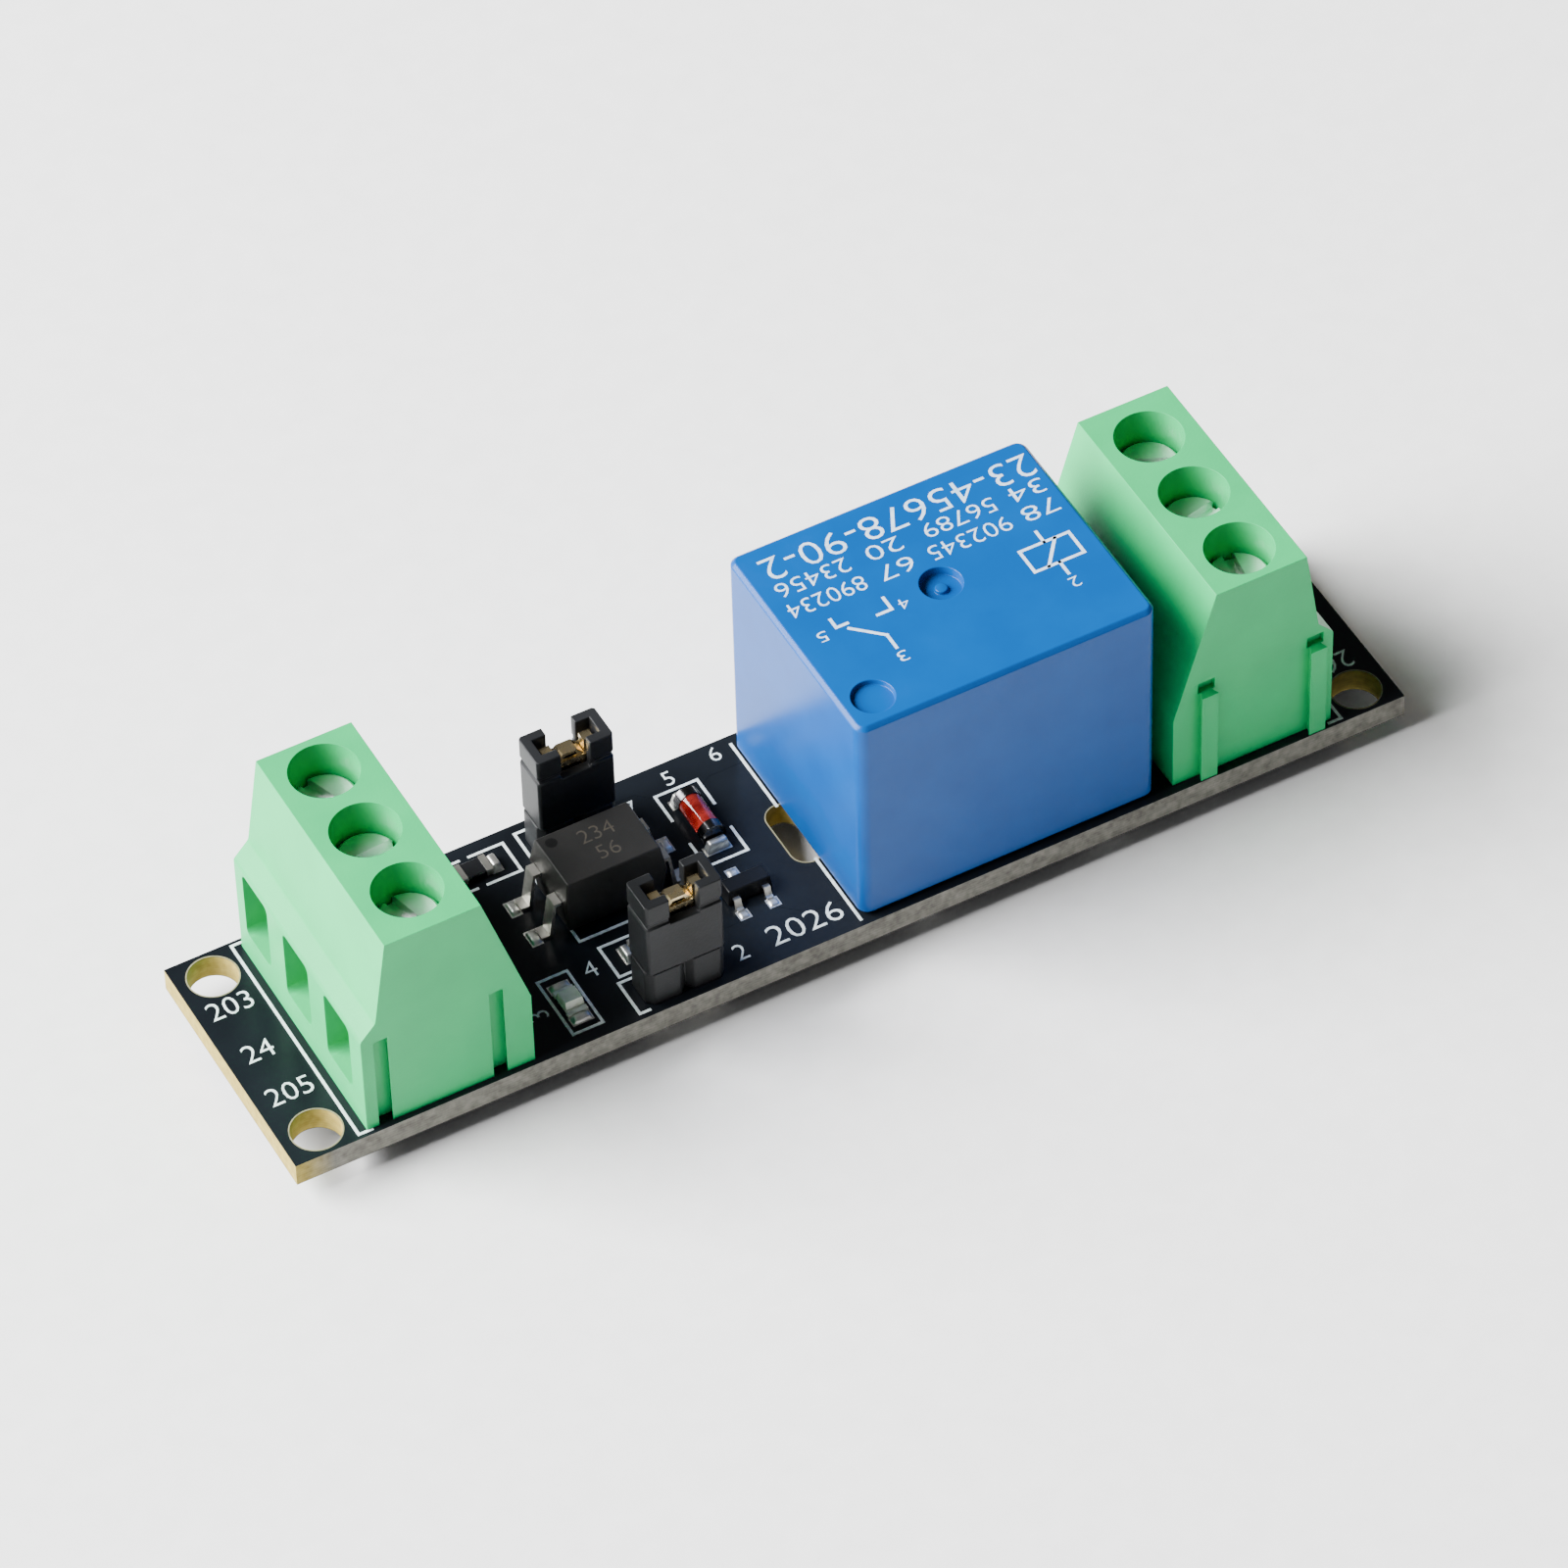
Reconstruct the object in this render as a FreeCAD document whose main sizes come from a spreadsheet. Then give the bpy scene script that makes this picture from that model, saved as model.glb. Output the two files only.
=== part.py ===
import FreeCAD, Part
import os
import re
import Sketcher
from FreeCAD import Placement, Rotation, Vector

# Relay module board: a black circuit board with a blue relay, a green screw terminal
# block at each end, two jumper headers with caps, and small surface parts between.
#
# Frame: +X runs along the board from the input terminals to the output terminals,
# +Y goes to the back, +Z is up. The origin is under the middle of the board, level
# with the tips of the soldered tails that the module stands on. Millimetres.

doc = FreeCAD.newDocument("relay_module")
sheet = doc.addObject("Spreadsheet::Sheet", "sizes")

# Driving sizes: name, value, and what it measures. "From the front" is from the board's
# front edge, and heights are above the board. The board's length and width are not
# among them: they follow from what stands on it, end to end and side to side.
SIZES = [
    ("opto_space", 9.0, "input block's rear face to the optocoupler's middle"),
    ("diode_space", 7.4, "optocoupler's middle to the diode's middle"),
    ("relay_space", 4.6, "diode's middle to the relay's left face"),
    ("relay_gap", 1.2, "relay's right face to the output block"),
    ("board_thickness", 1.6, "glass-epoxy sheet"),
    ("tail_length", 1.5, "soldered tails, below the board"),
    ("fixing_hole_radius", 1.5, "corner fixing holes"),
    ("fixing_hole_end", 2.2, "fixing holes, from the board's ends"),
    ("fixing_hole_side", 1.82, "fixing holes, from the board's long edges"),
    ("tail_gap", 0.02, "soldered tail, clear of its opening all round"),
    ("slot_lead", 1.2, "milled isolation slot, its left side ahead of the relay"),
    ("slot_middle", 8.1, "milled slot, its middle from the front"),
    ("slot_width", 2.0, "milled slot, along the board"),
    ("slot_length", 4.8, "milled slot, across the board"),
    ("slot_corner", 0.9, "milled slot, corner radius"),
    ("block_inset", 4.65, "terminal block's entry face, from the board's end"),
    ("block_front_gap", 0.35, "block's grooved side, from the board's long edge"),
    ("block_edge_gap", 0.05, "block's ribs, from the board's other long edge"),
    ("block_depth", 10.55, "block, entry face to rear face"),
    ("block_height", 14.5, "block, board to top"),
    ("pole_pitch", 5.08, "block, between poles"),
    ("groove_wall", 0.5, "extra wall on the block's grooved side"),
    ("shoulder_height", 7.4, "entry face, up to the shoulder"),
    ("shoulder_depth", 1.0, "shoulder, front to back"),
    ("shoulder_top", 8.5, "shoulder's inner edge"),
    ("shoulder_round", 0.45, "shoulder's rounded edges"),
    ("top_front", 1.9, "block's top face, its front edge from the entry face"),
    ("top_rear", 7.85, "block's top face, its rear edge from the entry face"),
    ("rear_height", 5.4, "rear face, up to the slope"),
    ("window_width", 3.1, "wire entry, across"),
    ("window_bottom", 2.1, "wire entry, sill"),
    ("window_top", 7.1, "wire entry, head"),
    ("window_round", 0.45, "wire entry, corner radius"),
    ("screw_setback", 4.87, "screw axis, from the entry face"),
    ("well_radius", 2.05, "screwdriver well"),
    ("well_depth", 3.4, "screwdriver well"),
    ("well_floor", 0.5, "wall under the well"),
    ("screw_radius", 1.45, "clamp screw, shank"),
    ("screw_gap", 0.2, "clamp screw, clear of the well and the neck"),
    ("screw_head_height", 1.2, "clamp screw, head"),
    ("screw_bevel", 0.18, "clamp screw, bevel round the head"),
    ("screw_play", 0.05, "clamp screw, running clearance"),
    ("driver_slot_width", 0.7, "screw head's slot"),
    ("driver_slot_depth", 0.65, "screw head's slot"),
    ("clamp_length", 4.0, "rising clamp, along the wire"),
    ("clamp_bottom", 2.1, "rising clamp, lowest face when open"),
    ("clamp_floor", 0.8, "rising clamp, floor"),
    ("clamp_side", 0.4, "rising clamp, side walls"),
    ("throat_gap", 0.1, "rising clamp's throat, clear of the screw on each side"),
    ("clamp_roof", 1.0, "rising clamp, threaded roof"),
    ("clamp_bevel", 0.3, "rising clamp, bent corners"),
    ("contact_gap", 0.2, "contact strip, clear of the clamp's sides"),
    ("clamp_play", 0.15, "chamber, beyond the clamp on each side"),
    ("contact_bottom", 5.9, "contact strip, underside"),
    ("contact_thickness", 0.7, "contact strip"),
    ("contact_leg_rear", 1.75, "contact strip's leg, from the rear face"),
    ("contact_tail_width", 1.0, "contact strip's soldered tail"),
    ("rib_front", 1.2, "front rib and groove, from the entry face"),
    ("rib_rear", 8.4, "rear rib and groove, from the entry face"),
    ("rib_root", 0.7, "dovetail rib, at its root"),
    ("rib_tip", 1.1, "dovetail rib, at its tip"),
    ("rib_depth", 0.5, "dovetail rib, how far it stands out"),
    ("rib_height", 6.9, "dovetail rib"),
    ("rib_play", 0.08, "groove, beyond the rib that slides into it"),
    ("relief_height", 0.8, "mould relief above each rib"),
    ("relief_depth", 0.35, "mould relief above each rib"),
    ("relay_front", 0.42, "relay, its front face from the front"),
    ("relay_length", 19.2, "relay, along the board"),
    ("relay_width", 15.5, "relay, across the board"),
    ("relay_height", 15.6, "relay, board to top"),
    ("relay_lift", 0.3, "relay's standing feet"),
    ("cover_wall", 0.9, "relay cover, side walls"),
    ("cover_roof", 1.0, "relay cover, roof"),
    ("cover_corner", 0.7, "relay cover, upright corners"),
    ("cover_edge", 0.25, "relay cover, bevel of the top edges"),
    ("gate_radius", 1.25, "round recesses in the cover's top"),
    ("gate_depth", 0.6, "middle recess, with the moulding gate"),
    ("nib_radius", 0.38, "gate nib in the middle recess"),
    ("nib_height", 0.24, "gate nib in the middle recess"),
    ("vent_depth", 0.35, "corner recess"),
    ("vent_inset_x", 2.05, "corner recess, from the left face"),
    ("vent_inset_y", 2.05, "corner recess, from the front face"),
    ("base_gap", 0.1, "relay base, clear of the cover's walls"),
    ("base_thickness", 1.2, "relay base"),
    ("foot_size", 1.3, "relay's standing feet, square"),
    ("foot_inset", 1.05, "standing feet, from the base's ends"),
    ("common_pin_offset", 2.4, "common pin, from the relay's left face"),
    ("coil_pin_offset", 4.4, "coil pins, from the relay's left face"),
    ("contact_pin_inset", 2.6, "contact pins, from the relay's right face"),
    ("relay_pin_inset", 1.75, "outer relay pins, from the relay's front and back"),
    ("common_strip_width", 3.0, "common pin's strip, staked to the yoke"),
    ("common_strip_height", 4.5, "common pin's strip, staked to the yoke"),
    ("relay_pin_thickness", 0.5, "contact and common pins"),
    ("relay_pin_width", 1.0, "contact and common pins"),
    ("coil_pin", 0.55, "square coil pins"),
    ("coil_pin_rise", 4.0, "coil pins, top above the board"),
    ("yoke_thickness", 1.3, "yoke, bent iron strip"),
    ("roof_gap", 0.1, "relay mechanism, under the cover's roof"),
    ("yoke_width", 8.4, "yoke, across"),
    ("yoke_bend_radius", 0.9, "yoke, outside of its bend"),
    ("yoke_reach", 10.2, "yoke, length of the flat leg"),
    ("core_radius", 2.2, "iron core"),
    ("pole_radius", 3.2, "core's pole head"),
    ("pole_thickness", 0.8, "core's pole head"),
    ("pole_gap", 0.8, "open magnetic gap under the armature"),
    ("bobbin_bore_gap", 0.1, "bobbin's bore, beyond the core"),
    ("bobbin_barrel_wall", 0.5, "bobbin's barrel"),
    ("bobbin_flange", 0.8, "bobbin's flanges, thickness"),
    ("bobbin_flange_x", 8.2, "bobbin's flanges, along the board"),
    ("bobbin_gap", 0.25, "bobbin, clear of the yoke"),
    ("bobbin_side_gap", 0.5, "bobbin, clear of the coil pins"),
    ("coil_inset", 0.1, "winding, inside the flanges' edge"),
    ("coil_gap", 0.05, "winding, clear of the flanges and barrel"),
    ("armature_length", 8.9, "armature"),
    ("armature_width", 8.0, "armature"),
    ("armature_thickness", 1.2, "armature"),
    ("armature_round", 1.2, "armature, corners of its free end"),
    ("armature_heel", 1.05, "armature, behind its rocking edge"),
    ("armature_play", 0.05, "armature, above the yoke's top"),
    ("leaf_thickness", 0.25, "moving contact leaf"),
    ("leaf_width", 4.0, "moving contact leaf"),
    ("leaf_gap", 0.35, "moving contact leaf, its end clear of the fixed plates"),
    ("button_radius", 0.9, "contact buttons"),
    ("button_height", 0.35, "moving contact button, each side of the leaf"),
    ("contact_play", 0.05, "moving contact, from the contact it rests under"),
    ("contact_stroke", 1.15, "moving contact, down to the other fixed contact"),
    ("fixed_plate", 0.4, "fixed contact plates"),
    ("fixed_button_height", 0.2, "fixed contact buttons"),
    ("fixed_plate_drop", 1.9, "fixed contact plates, depth of the upright part"),
    ("header_pitch", 2.54, "jumper pins"),
    ("header_width", 2.5, "jumper header's insulator, across"),
    ("header_height", 2.54, "jumper header's insulator"),
    ("header_notch", 0.45, "insulator's corner and waist notches"),
    ("header_pin", 0.64, "square jumper pins"),
    ("header_pin_top", 7.6, "jumper pins, top above the board"),
    ("header_1_shift", 0.7, "rear header, right of the optocoupler's middle"),
    ("header_1_across", 4.85, "rear header, its middle behind the optocoupler's middle"),
    ("header_2_shift", 0.85, "front header, right of the optocoupler's middle"),
    ("header_2_front", 1.78, "front header, its middle from the front"),
    ("cap_length", 4.9, "jumper cap, along the pins' row"),
    ("cap_width", 2.44, "jumper cap, across"),
    ("cap_height", 5.65, "jumper cap"),
    ("cap_wall", 0.6, "jumper cap, side walls"),
    ("cap_corner", 0.15, "jumper cap, bevel of the upright corners"),
    ("cap_notch_width", 1.86, "opening between the cap's two prongs"),
    ("cap_notch_depth", 2.0, "opening between the cap's two prongs"),
    ("cap_band_height", 0.4, "groove round the cap"),
    ("cap_band_drop", 1.45, "groove round the cap, below the cap's top"),
    ("cap_band_depth", 0.14, "groove round the cap"),
    ("clip_thickness", 0.2, "jumper clip, sheet"),
    ("clip_play", 0.03, "jumper clip, each side of a pin"),
    ("clip_lift", 0.6, "jumper clip, its foot above the cap's foot"),
    ("clip_rise", 4.2, "jumper clip, ends of the bridge above the cap's foot"),
    ("clip_arch", 0.5, "jumper clip, rise of the bridge"),
    ("opto_front", 9.65, "optocoupler, its middle from the front"),
    ("opto_length", 6.5, "optocoupler, along the board"),
    ("opto_width", 4.6, "optocoupler, across the board"),
    ("opto_top", 4.15, "optocoupler, top above the board"),
    ("opto_bottom", 0.25, "optocoupler, underside above the board"),
    ("opto_draft", 0.28, "optocoupler, how far its ends slope in"),
    ("opto_lead_pitch", 2.54, "optocoupler leads"),
    ("opto_lead_width", 0.9, "optocoupler leads"),
    ("opto_lead_top", 2.6, "optocoupler leads, shoulder height"),
    ("opto_lead_reach", 1.35, "optocoupler leads, beyond the body"),
    ("opto_lead_foot", 0.75, "optocoupler leads, foot"),
    ("lead_sheet", 0.25, "lead frame sheet"),
    ("transistor_shift", 0.15, "transistor, its middle left of the diode's middle"),
    ("transistor_front", 5.6, "transistor, its middle from the front"),
    ("transistor_length", 2.9, "transistor, along the board"),
    ("transistor_width", 1.3, "transistor, across the board"),
    ("transistor_top", 1.1, "transistor, top above the board"),
    ("transistor_bottom", 0.1, "transistor, underside above the board"),
    ("transistor_draft", 0.12, "transistor, how far its sides slope in"),
    ("transistor_lead_pitch", 0.95, "transistor leads, from the middle"),
    ("transistor_lead_width", 0.42, "transistor leads"),
    ("transistor_lead_sheet", 0.13, "transistor leads, sheet"),
    ("transistor_lead_top", 0.62, "transistor leads, shoulder height"),
    ("transistor_lead_reach", 0.6, "transistor leads, beyond the body"),
    ("transistor_lead_foot", 0.35, "transistor leads, foot"),
    ("diode_front", 11.35, "diode, its middle from the front"),
    ("diode_length", 3.5, "diode, cap to cap"),
    ("diode_radius", 0.72, "diode, glass tube"),
    ("diode_cap_length", 0.62, "diode, metal end caps"),
    ("diode_cap_radius", 0.78, "diode, metal end caps"),
    ("chip_length", 2.0, "chip resistors and lamp, between their ends"),
    ("chip_width", 1.25, "chip resistors and lamp"),
    ("chip_height", 0.5, "chip resistors"),
    ("chip_end", 0.4, "chip resistors, metal ends"),
    ("chip_skin", 0.04, "chip resistors, thickness of the metal ends"),
    ("resistor_1_space", 3.4, "input block's rear face to the rear resistor's middle"),
    ("resistor_1_back", 2.14, "rear resistor, its middle from the board's back edge"),
    ("resistor_2_shift", 0.4, "front resistor, right of the optocoupler's middle"),
    ("resistor_2_front", 4.65, "front resistor, its middle from the front"),
    ("lamp_space", 3.65, "input block's rear face to the indicator lamp's middle"),
    ("lamp_front", 3.05, "indicator lamp, its middle from the front"),
    ("lamp_base", 0.3, "indicator lamp, base plate"),
    ("lamp_end", 0.32, "indicator lamp, metal ends"),
    ("lamp_lens_gap", 0.055, "indicator lamp, lens clear of the metal ends"),
    ("lamp_lens_height", 0.5, "indicator lamp, lens"),
    ("lamp_lens_draft", 0.16, "indicator lamp, how far its lens slopes in at the ends"),
    ("lamp_side_draft", 0.05, "indicator lamp, how far its lens slopes in at the sides"),
    ("solder_radius", 1.05, "solder cones under the board, at the board"),
    ("solder_tip_radius", 0.68, "solder cones under the board, at the tip"),
    ("solder_height", 0.9, "solder cones under the board"),
    ("fillet_run", 0.62, "solder fillets beside the surface parts, at the board"),
    ("fillet_waist", 0.19, "solder fillets, where their slope turns"),
    ("fillet_thin", 0.1, "solder fillets, their thin edge"),
    ("fillet_spread", 0.12, "solder fillets, wider than a lead on each side"),
]

for row, (alias, size, meaning) in enumerate(SIZES, start=1):
    sheet.set(f"A{row}", meaning)
    sheet.set(f"B{row}", str(size))
    sheet.setAlias(f"B{row}", alias)
doc.recompute()

ALIASES = {alias for alias, _, _ in SIZES}
POLES = 3
ALONG = Vector(1, 0, 0)
ACROSS = Vector(0, 1, 0)
UP = Vector(0, 0, 1)
CLOSE = 1e-4


def linked(text):
    """Write an expression with each size name pointing at the sheet."""
    return re.sub(r"[a-z]\w*", lambda word: link_word(word.group(0)), str(text))


def link_word(word):
    return f"sizes.{word}" if word in ALIASES else word


def measure(text):
    """The value of an expression now, used to lay out a sketch before it is solved."""
    return float(sheet.evalExpression(linked(text)))


# Places that several sub-parts share
BOARD_TOP = "(tail_length + board_thickness)"
BLOCK_WIDTH = f"({POLES} * pole_pitch + groove_wall)"
BOARD_WIDTH = f"(block_front_gap + {BLOCK_WIDTH} + rib_depth + block_edge_gap)"
BLOCK_REAR = "(block_inset + block_depth)"
OPTO_LEFT = f"({BLOCK_REAR} + opto_space)"
DIODE_LEFT = f"({OPTO_LEFT} + diode_space)"
RELAY_LEFT = f"({DIODE_LEFT} + relay_space)"
BOARD_LENGTH = f"({RELAY_LEFT} + relay_length + relay_gap + {BLOCK_REAR})"


def from_left(distance):
    """A distance from the board's left end, in the part's own frame."""
    return f"({distance} - {BOARD_LENGTH} / 2)"


def from_front(distance):
    return f"({distance} - {BOARD_WIDTH} / 2)"


def from_back(distance):
    return f"({BOARD_WIDTH} / 2 - {distance})"


BLOCK_X = from_left("block_inset")
BLOCK_Y = from_front("block_front_gap")
CONTACT_TOP = "(contact_bottom + contact_thickness)"
LEG_X = "(block_depth - contact_leg_rear - contact_thickness)"
SCREW_HEAD_RADIUS = "(well_radius - screw_gap)"
CHAMBER_TOP = "(block_height - well_depth - well_floor)"
CLAMP_WIDTH = "(2 * (screw_radius + throat_gap + clamp_side))"
CONTACT_WIDTH = "(2 * (screw_radius + throat_gap - contact_gap))"
RELAY_X = from_left(RELAY_LEFT)
RELAY_Y = from_front("(relay_front + relay_width / 2)")
BASE_TOP = "(relay_lift + base_thickness)"
PIN_SPREAD = "(relay_width / 2 - relay_pin_inset)"
CONTACT_PIN_X = "(relay_length - contact_pin_inset)"
YOKE_LEFT = "(common_pin_offset + relay_pin_thickness / 2)"
YOKE_RIGHT = f"({YOKE_LEFT} + yoke_thickness)"
CORE_X = f"({YOKE_RIGHT} + bobbin_gap + bobbin_flange_x / 2)"
LEAF_END = f"({CONTACT_PIN_X} - relay_pin_thickness / 2 - leaf_gap)"
BUTTON_X = f"({LEAF_END} - button_radius)"
CONTACT_STACK = "(fixed_plate + fixed_button_height + contact_play + button_height + leaf_thickness)"
YOKE_TOP = f"(relay_height - cover_roof - roof_gap - {CONTACT_STACK} - armature_thickness - armature_play)"
ARMATURE_BOTTOM = f"({YOKE_TOP} + armature_play)"
LEAF_BOTTOM = f"({ARMATURE_BOTTOM} + armature_thickness)"
LEAF_TOP = f"({LEAF_BOTTOM} + leaf_thickness)"


def pole_y(pole):
    """Middle of a pole, measured along the block from its grooved side."""
    return f"(groove_wall + {pole + 0.5} * pole_pitch)"


# Part primitives, each bound to the sheet

def place(item, x, y, z, rotation=None):
    item.Placement = Placement(Vector(0, 0, 0), rotation or Rotation())
    for axis, text in zip("xyz", (x, y, z)):
        item.setExpression(f"Placement.Base.{axis}", linked(text))
    return item


def box(label, size, corner):
    item = doc.addObject("Part::Box", label)
    for side, text in zip(("Length", "Width", "Height"), size):
        item.setExpression(side, linked(text))
    return place(item, *corner)


def upright_box(label, size, middle):
    """A box given by the middle of its footprint and its lowest height."""
    x, y, z = middle
    return box(label, size, (f"{x} - ({size[0]}) / 2", f"{y} - ({size[1]}) / 2", z))


def cylinder(label, radius, height, foot, rotation=None):
    item = doc.addObject("Part::Cylinder", label)
    item.setExpression("Radius", linked(radius))
    item.setExpression("Height", linked(height))
    return place(item, *foot, rotation)


def wedge(label, size, insets, corner, rotation=None):
    """A block that narrows upwards: insets give how far each side slopes in.

    The wedge's own Y axis is its height, so it is stood up by a quarter turn.
    """
    length, width, height = size
    left, right, front, back = insets
    item = doc.addObject("Part::Wedge", label)
    limits = {
        "Xmin": "0", "Xmax": length, "Zmin": "0", "Zmax": width, "Ymin": "0", "Ymax": height,
        "X2min": left, "X2max": f"({length}) - ({right})",
        "Z2min": back, "Z2max": f"({width}) - ({front})",
    }
    for name, text in limits.items():
        item.setExpression(name, linked(text))
    x, y, z = corner
    quarter = rotation or Rotation(Vector(1, 0, 0), 90)
    return place(item, x, f"({y}) + ({width})", z, quarter)


def cut(label, base, tool):
    item = doc.addObject("Part::Cut", label)
    item.Base = base
    item.Tool = tool
    return item


def fuse(label, pieces):
    item = doc.addObject("Part::MultiFuse", label)
    item.Shapes = pieces
    item.Refine = True
    return item


def group(label, pieces):
    """Like pieces that stay separate solids in one node."""
    item = doc.addObject("Part::Compound", label)
    item.Links = pieces
    return item


# PartDesign helpers

def new_body(label):
    body = doc.addObject("PartDesign::Body", label)
    body.Label = label
    return body


def sketch_on(body, role, name, offset="0"):
    """A sketch on one of the body's own origin planes, or parallel to it."""
    sketch = body.newObject("Sketcher::SketchObject", name)
    plane = next(item for item in body.Origin.OriginFeatures if item.Role == role)
    sketch.AttachmentSupport = [(plane, "")]
    sketch.MapMode = "FlatFace"
    if offset != "0":
        sketch.setExpression("AttachmentOffset.Base.z", linked(offset))
    return sketch


def pin_point(sketch, line, end, x, y):
    """Hold a line's end or a circle's centre at x, y from the sketch's origin."""
    for kind, text, axis in (("DistanceX", x, -2), ("DistanceY", y, -1)):
        if text == "0":
            sketch.addConstraint(Sketcher.Constraint("PointOnObject", line, end, axis))
            continue
        number = sketch.addConstraint(Sketcher.Constraint(kind, -1, 1, line, end, measure(text)))
        name = f"{kind}_{line}"
        sketch.renameConstraint(number, name)
        sketch.setExpression(f"Constraints.{name}", linked(text))


def outline(sketch, corners):
    """A closed outline through the corners, each held by its two distances."""
    first = sketch.GeometryCount
    spots = [Vector(measure(x), measure(y), 0) for x, y in corners]
    count = len(corners)
    for index in range(count):
        sketch.addGeometry(Part.LineSegment(spots[index], spots[(index + 1) % count]), False)
    joins = [
        Sketcher.Constraint("Coincident", first + index, 2, first + (index + 1) % count, 1)
        for index in range(count)
    ]
    sketch.addConstraint(joins)
    for index, (x, y) in enumerate(corners):
        pin_point(sketch, first + index, 1, x, y)


def rectangle(sketch, x_low, y_low, x_high, y_high):
    outline(sketch, [(x_low, y_low), (x_high, y_low), (x_high, y_high), (x_low, y_high)])


def middle_rectangle(sketch, x, y, length, width):
    rectangle(
        sketch,
        f"{x} - ({length}) / 2", f"{y} - ({width}) / 2",
        f"{x} + ({length}) / 2", f"{y} + ({width}) / 2",
    )


def circle(sketch, x, y, radius):
    first = sketch.GeometryCount
    spot = Vector(measure(x), measure(y), 0)
    sketch.addGeometry(Part.Circle(spot, UP, measure(radius)), False)
    number = sketch.addConstraint(Sketcher.Constraint("Radius", first, measure(radius)))
    sketch.renameConstraint(number, f"Radius_{first}")
    sketch.setExpression(f"Constraints.Radius_{first}", linked(radius))
    pin_point(sketch, first, 3, x, y)


def pad(body, sketch, name, length, reverse=False, both_ways=False):
    feature = body.newObject("PartDesign::Pad", name)
    feature.Profile = sketch
    feature.setExpression("Length", linked(length))
    feature.Reversed = reverse
    feature.Midplane = both_ways
    doc.recompute()
    return feature


def pocket(body, sketch, name, depth, reverse=False):
    """Cut a sketch into the body, and make sure that it does remove material."""
    before = body.Shape.Volume
    feature = body.newObject("PartDesign::Pocket", name)
    feature.Profile = sketch
    feature.setExpression("Length", linked(depth))
    feature.Reversed = reverse
    doc.recompute()
    if body.Shape.Volume > before - 1e-6:
        raise RuntimeError(f"{body.Label}: {name} cuts nothing")
    return feature


def round_edges(body, base, name, radius, chosen):
    """Round the edges of a feature that a test picks out."""
    return dress_edges(body, base, name, "Fillet", ("Radius", radius), chosen)


def bevel_edges(body, base, name, size, chosen):
    """Bevel the edges of a feature that a test picks out."""
    return dress_edges(body, base, name, "Chamfer", ("Size", size), chosen)


def dress_edges(body, base, name, kind, setting, chosen):
    picked = [f"Edge{index}" for index, edge in enumerate(base.Shape.Edges, start=1) if chosen(edge)]
    if not picked:
        raise RuntimeError(f"{body.Label}: {name} finds no edge")
    feature = body.newObject(f"PartDesign::{kind}", name)
    feature.Base = (base, picked)
    feature.setExpression(setting[0], linked(setting[1]))
    doc.recompute()
    return feature


def runs_along(edge, axis):
    """True for a straight edge along an axis."""
    if not isinstance(edge.Curve, Part.Line):
        return False
    return abs(edge.Curve.Direction.dot(axis)) > 0.999


def at_height(edge, text):
    height = measure(text)
    return abs(edge.BoundBox.ZMin - height) < CLOSE and abs(edge.BoundBox.ZMax - height) < CLOSE


def lies_at(edge, x, z):
    """True for an edge across the board at x, z in its body."""
    return abs(edge.BoundBox.XMin - measure(x)) < CLOSE and at_height(edge, z)


def seat_on_board(body, x, y, turn=0):
    """Stand a body on the board's top, turned about its upright axis in degrees."""
    return place(body, x, y, BOARD_TOP, Rotation(UP, turn))


def seat_in_block(body, side, x, y, turn=0):
    """Place a piece in a terminal block by the block's own distances.

    side is 1 for the input block. It is -1 for the output block, which is the same
    block turned by half a turn about the middle of the board.
    """
    half_turn = 0 if side > 0 else 180
    return seat_on_board(body, f"{side} * ({BLOCK_X} + {x})", f"{side} * ({BLOCK_Y} + {y})", half_turn + turn)


NODES = {}


def keep(item, label):
    """Note a finished sub-part under the name of its file."""
    item.Label = label
    NODES[label] = item
    return item


# Circuit board

def relay_spot(offset, across="0"):
    return f"({RELAY_X} + {offset})", f"({RELAY_Y} + {across})"


def header_middle(number):
    x = from_left(f"({OPTO_LEFT} + header_{number}_shift)")
    across = "(opto_front + header_1_across)" if number == 1 else "header_2_front"
    return x, from_front(across)


def header_spots(number):
    x, y = header_middle(number)
    return [(f"({x} - header_pitch / 2)", y), (f"({x} + header_pitch / 2)", y)]


def terminal_spots():
    tail_x = f"{LEG_X} + contact_thickness / 2"
    return [
        (f"{side} * ({BLOCK_X} + {tail_x})", f"{side} * ({BLOCK_Y} + {pole_y(pole)})")
        for side in (1, -1)
        for pole in range(POLES)
    ]


def relay_spots():
    """Soldered pins of the relay: place, length along the board, width across it."""
    flat = ("relay_pin_thickness", "relay_pin_width")
    wire = ("coil_pin", "coil_pin")
    return [
        (relay_spot("common_pin_offset"), flat),
        (relay_spot("coil_pin_offset", PIN_SPREAD), wire),
        (relay_spot("coil_pin_offset", f"-{PIN_SPREAD}"), wire),
        (relay_spot(CONTACT_PIN_X, PIN_SPREAD), flat),
        (relay_spot(CONTACT_PIN_X, f"-{PIN_SPREAD}"), flat),
    ]


def soldered_spots():
    """Every tail that goes through the board, with its section."""
    strip = ("contact_thickness", "contact_tail_width")
    square = ("header_pin", "header_pin")
    tails = [(spot, strip) for spot in terminal_spots()]
    tails += relay_spots()
    tails += [(spot, square) for number in (1, 2) for spot in header_spots(number)]
    return tails


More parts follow.
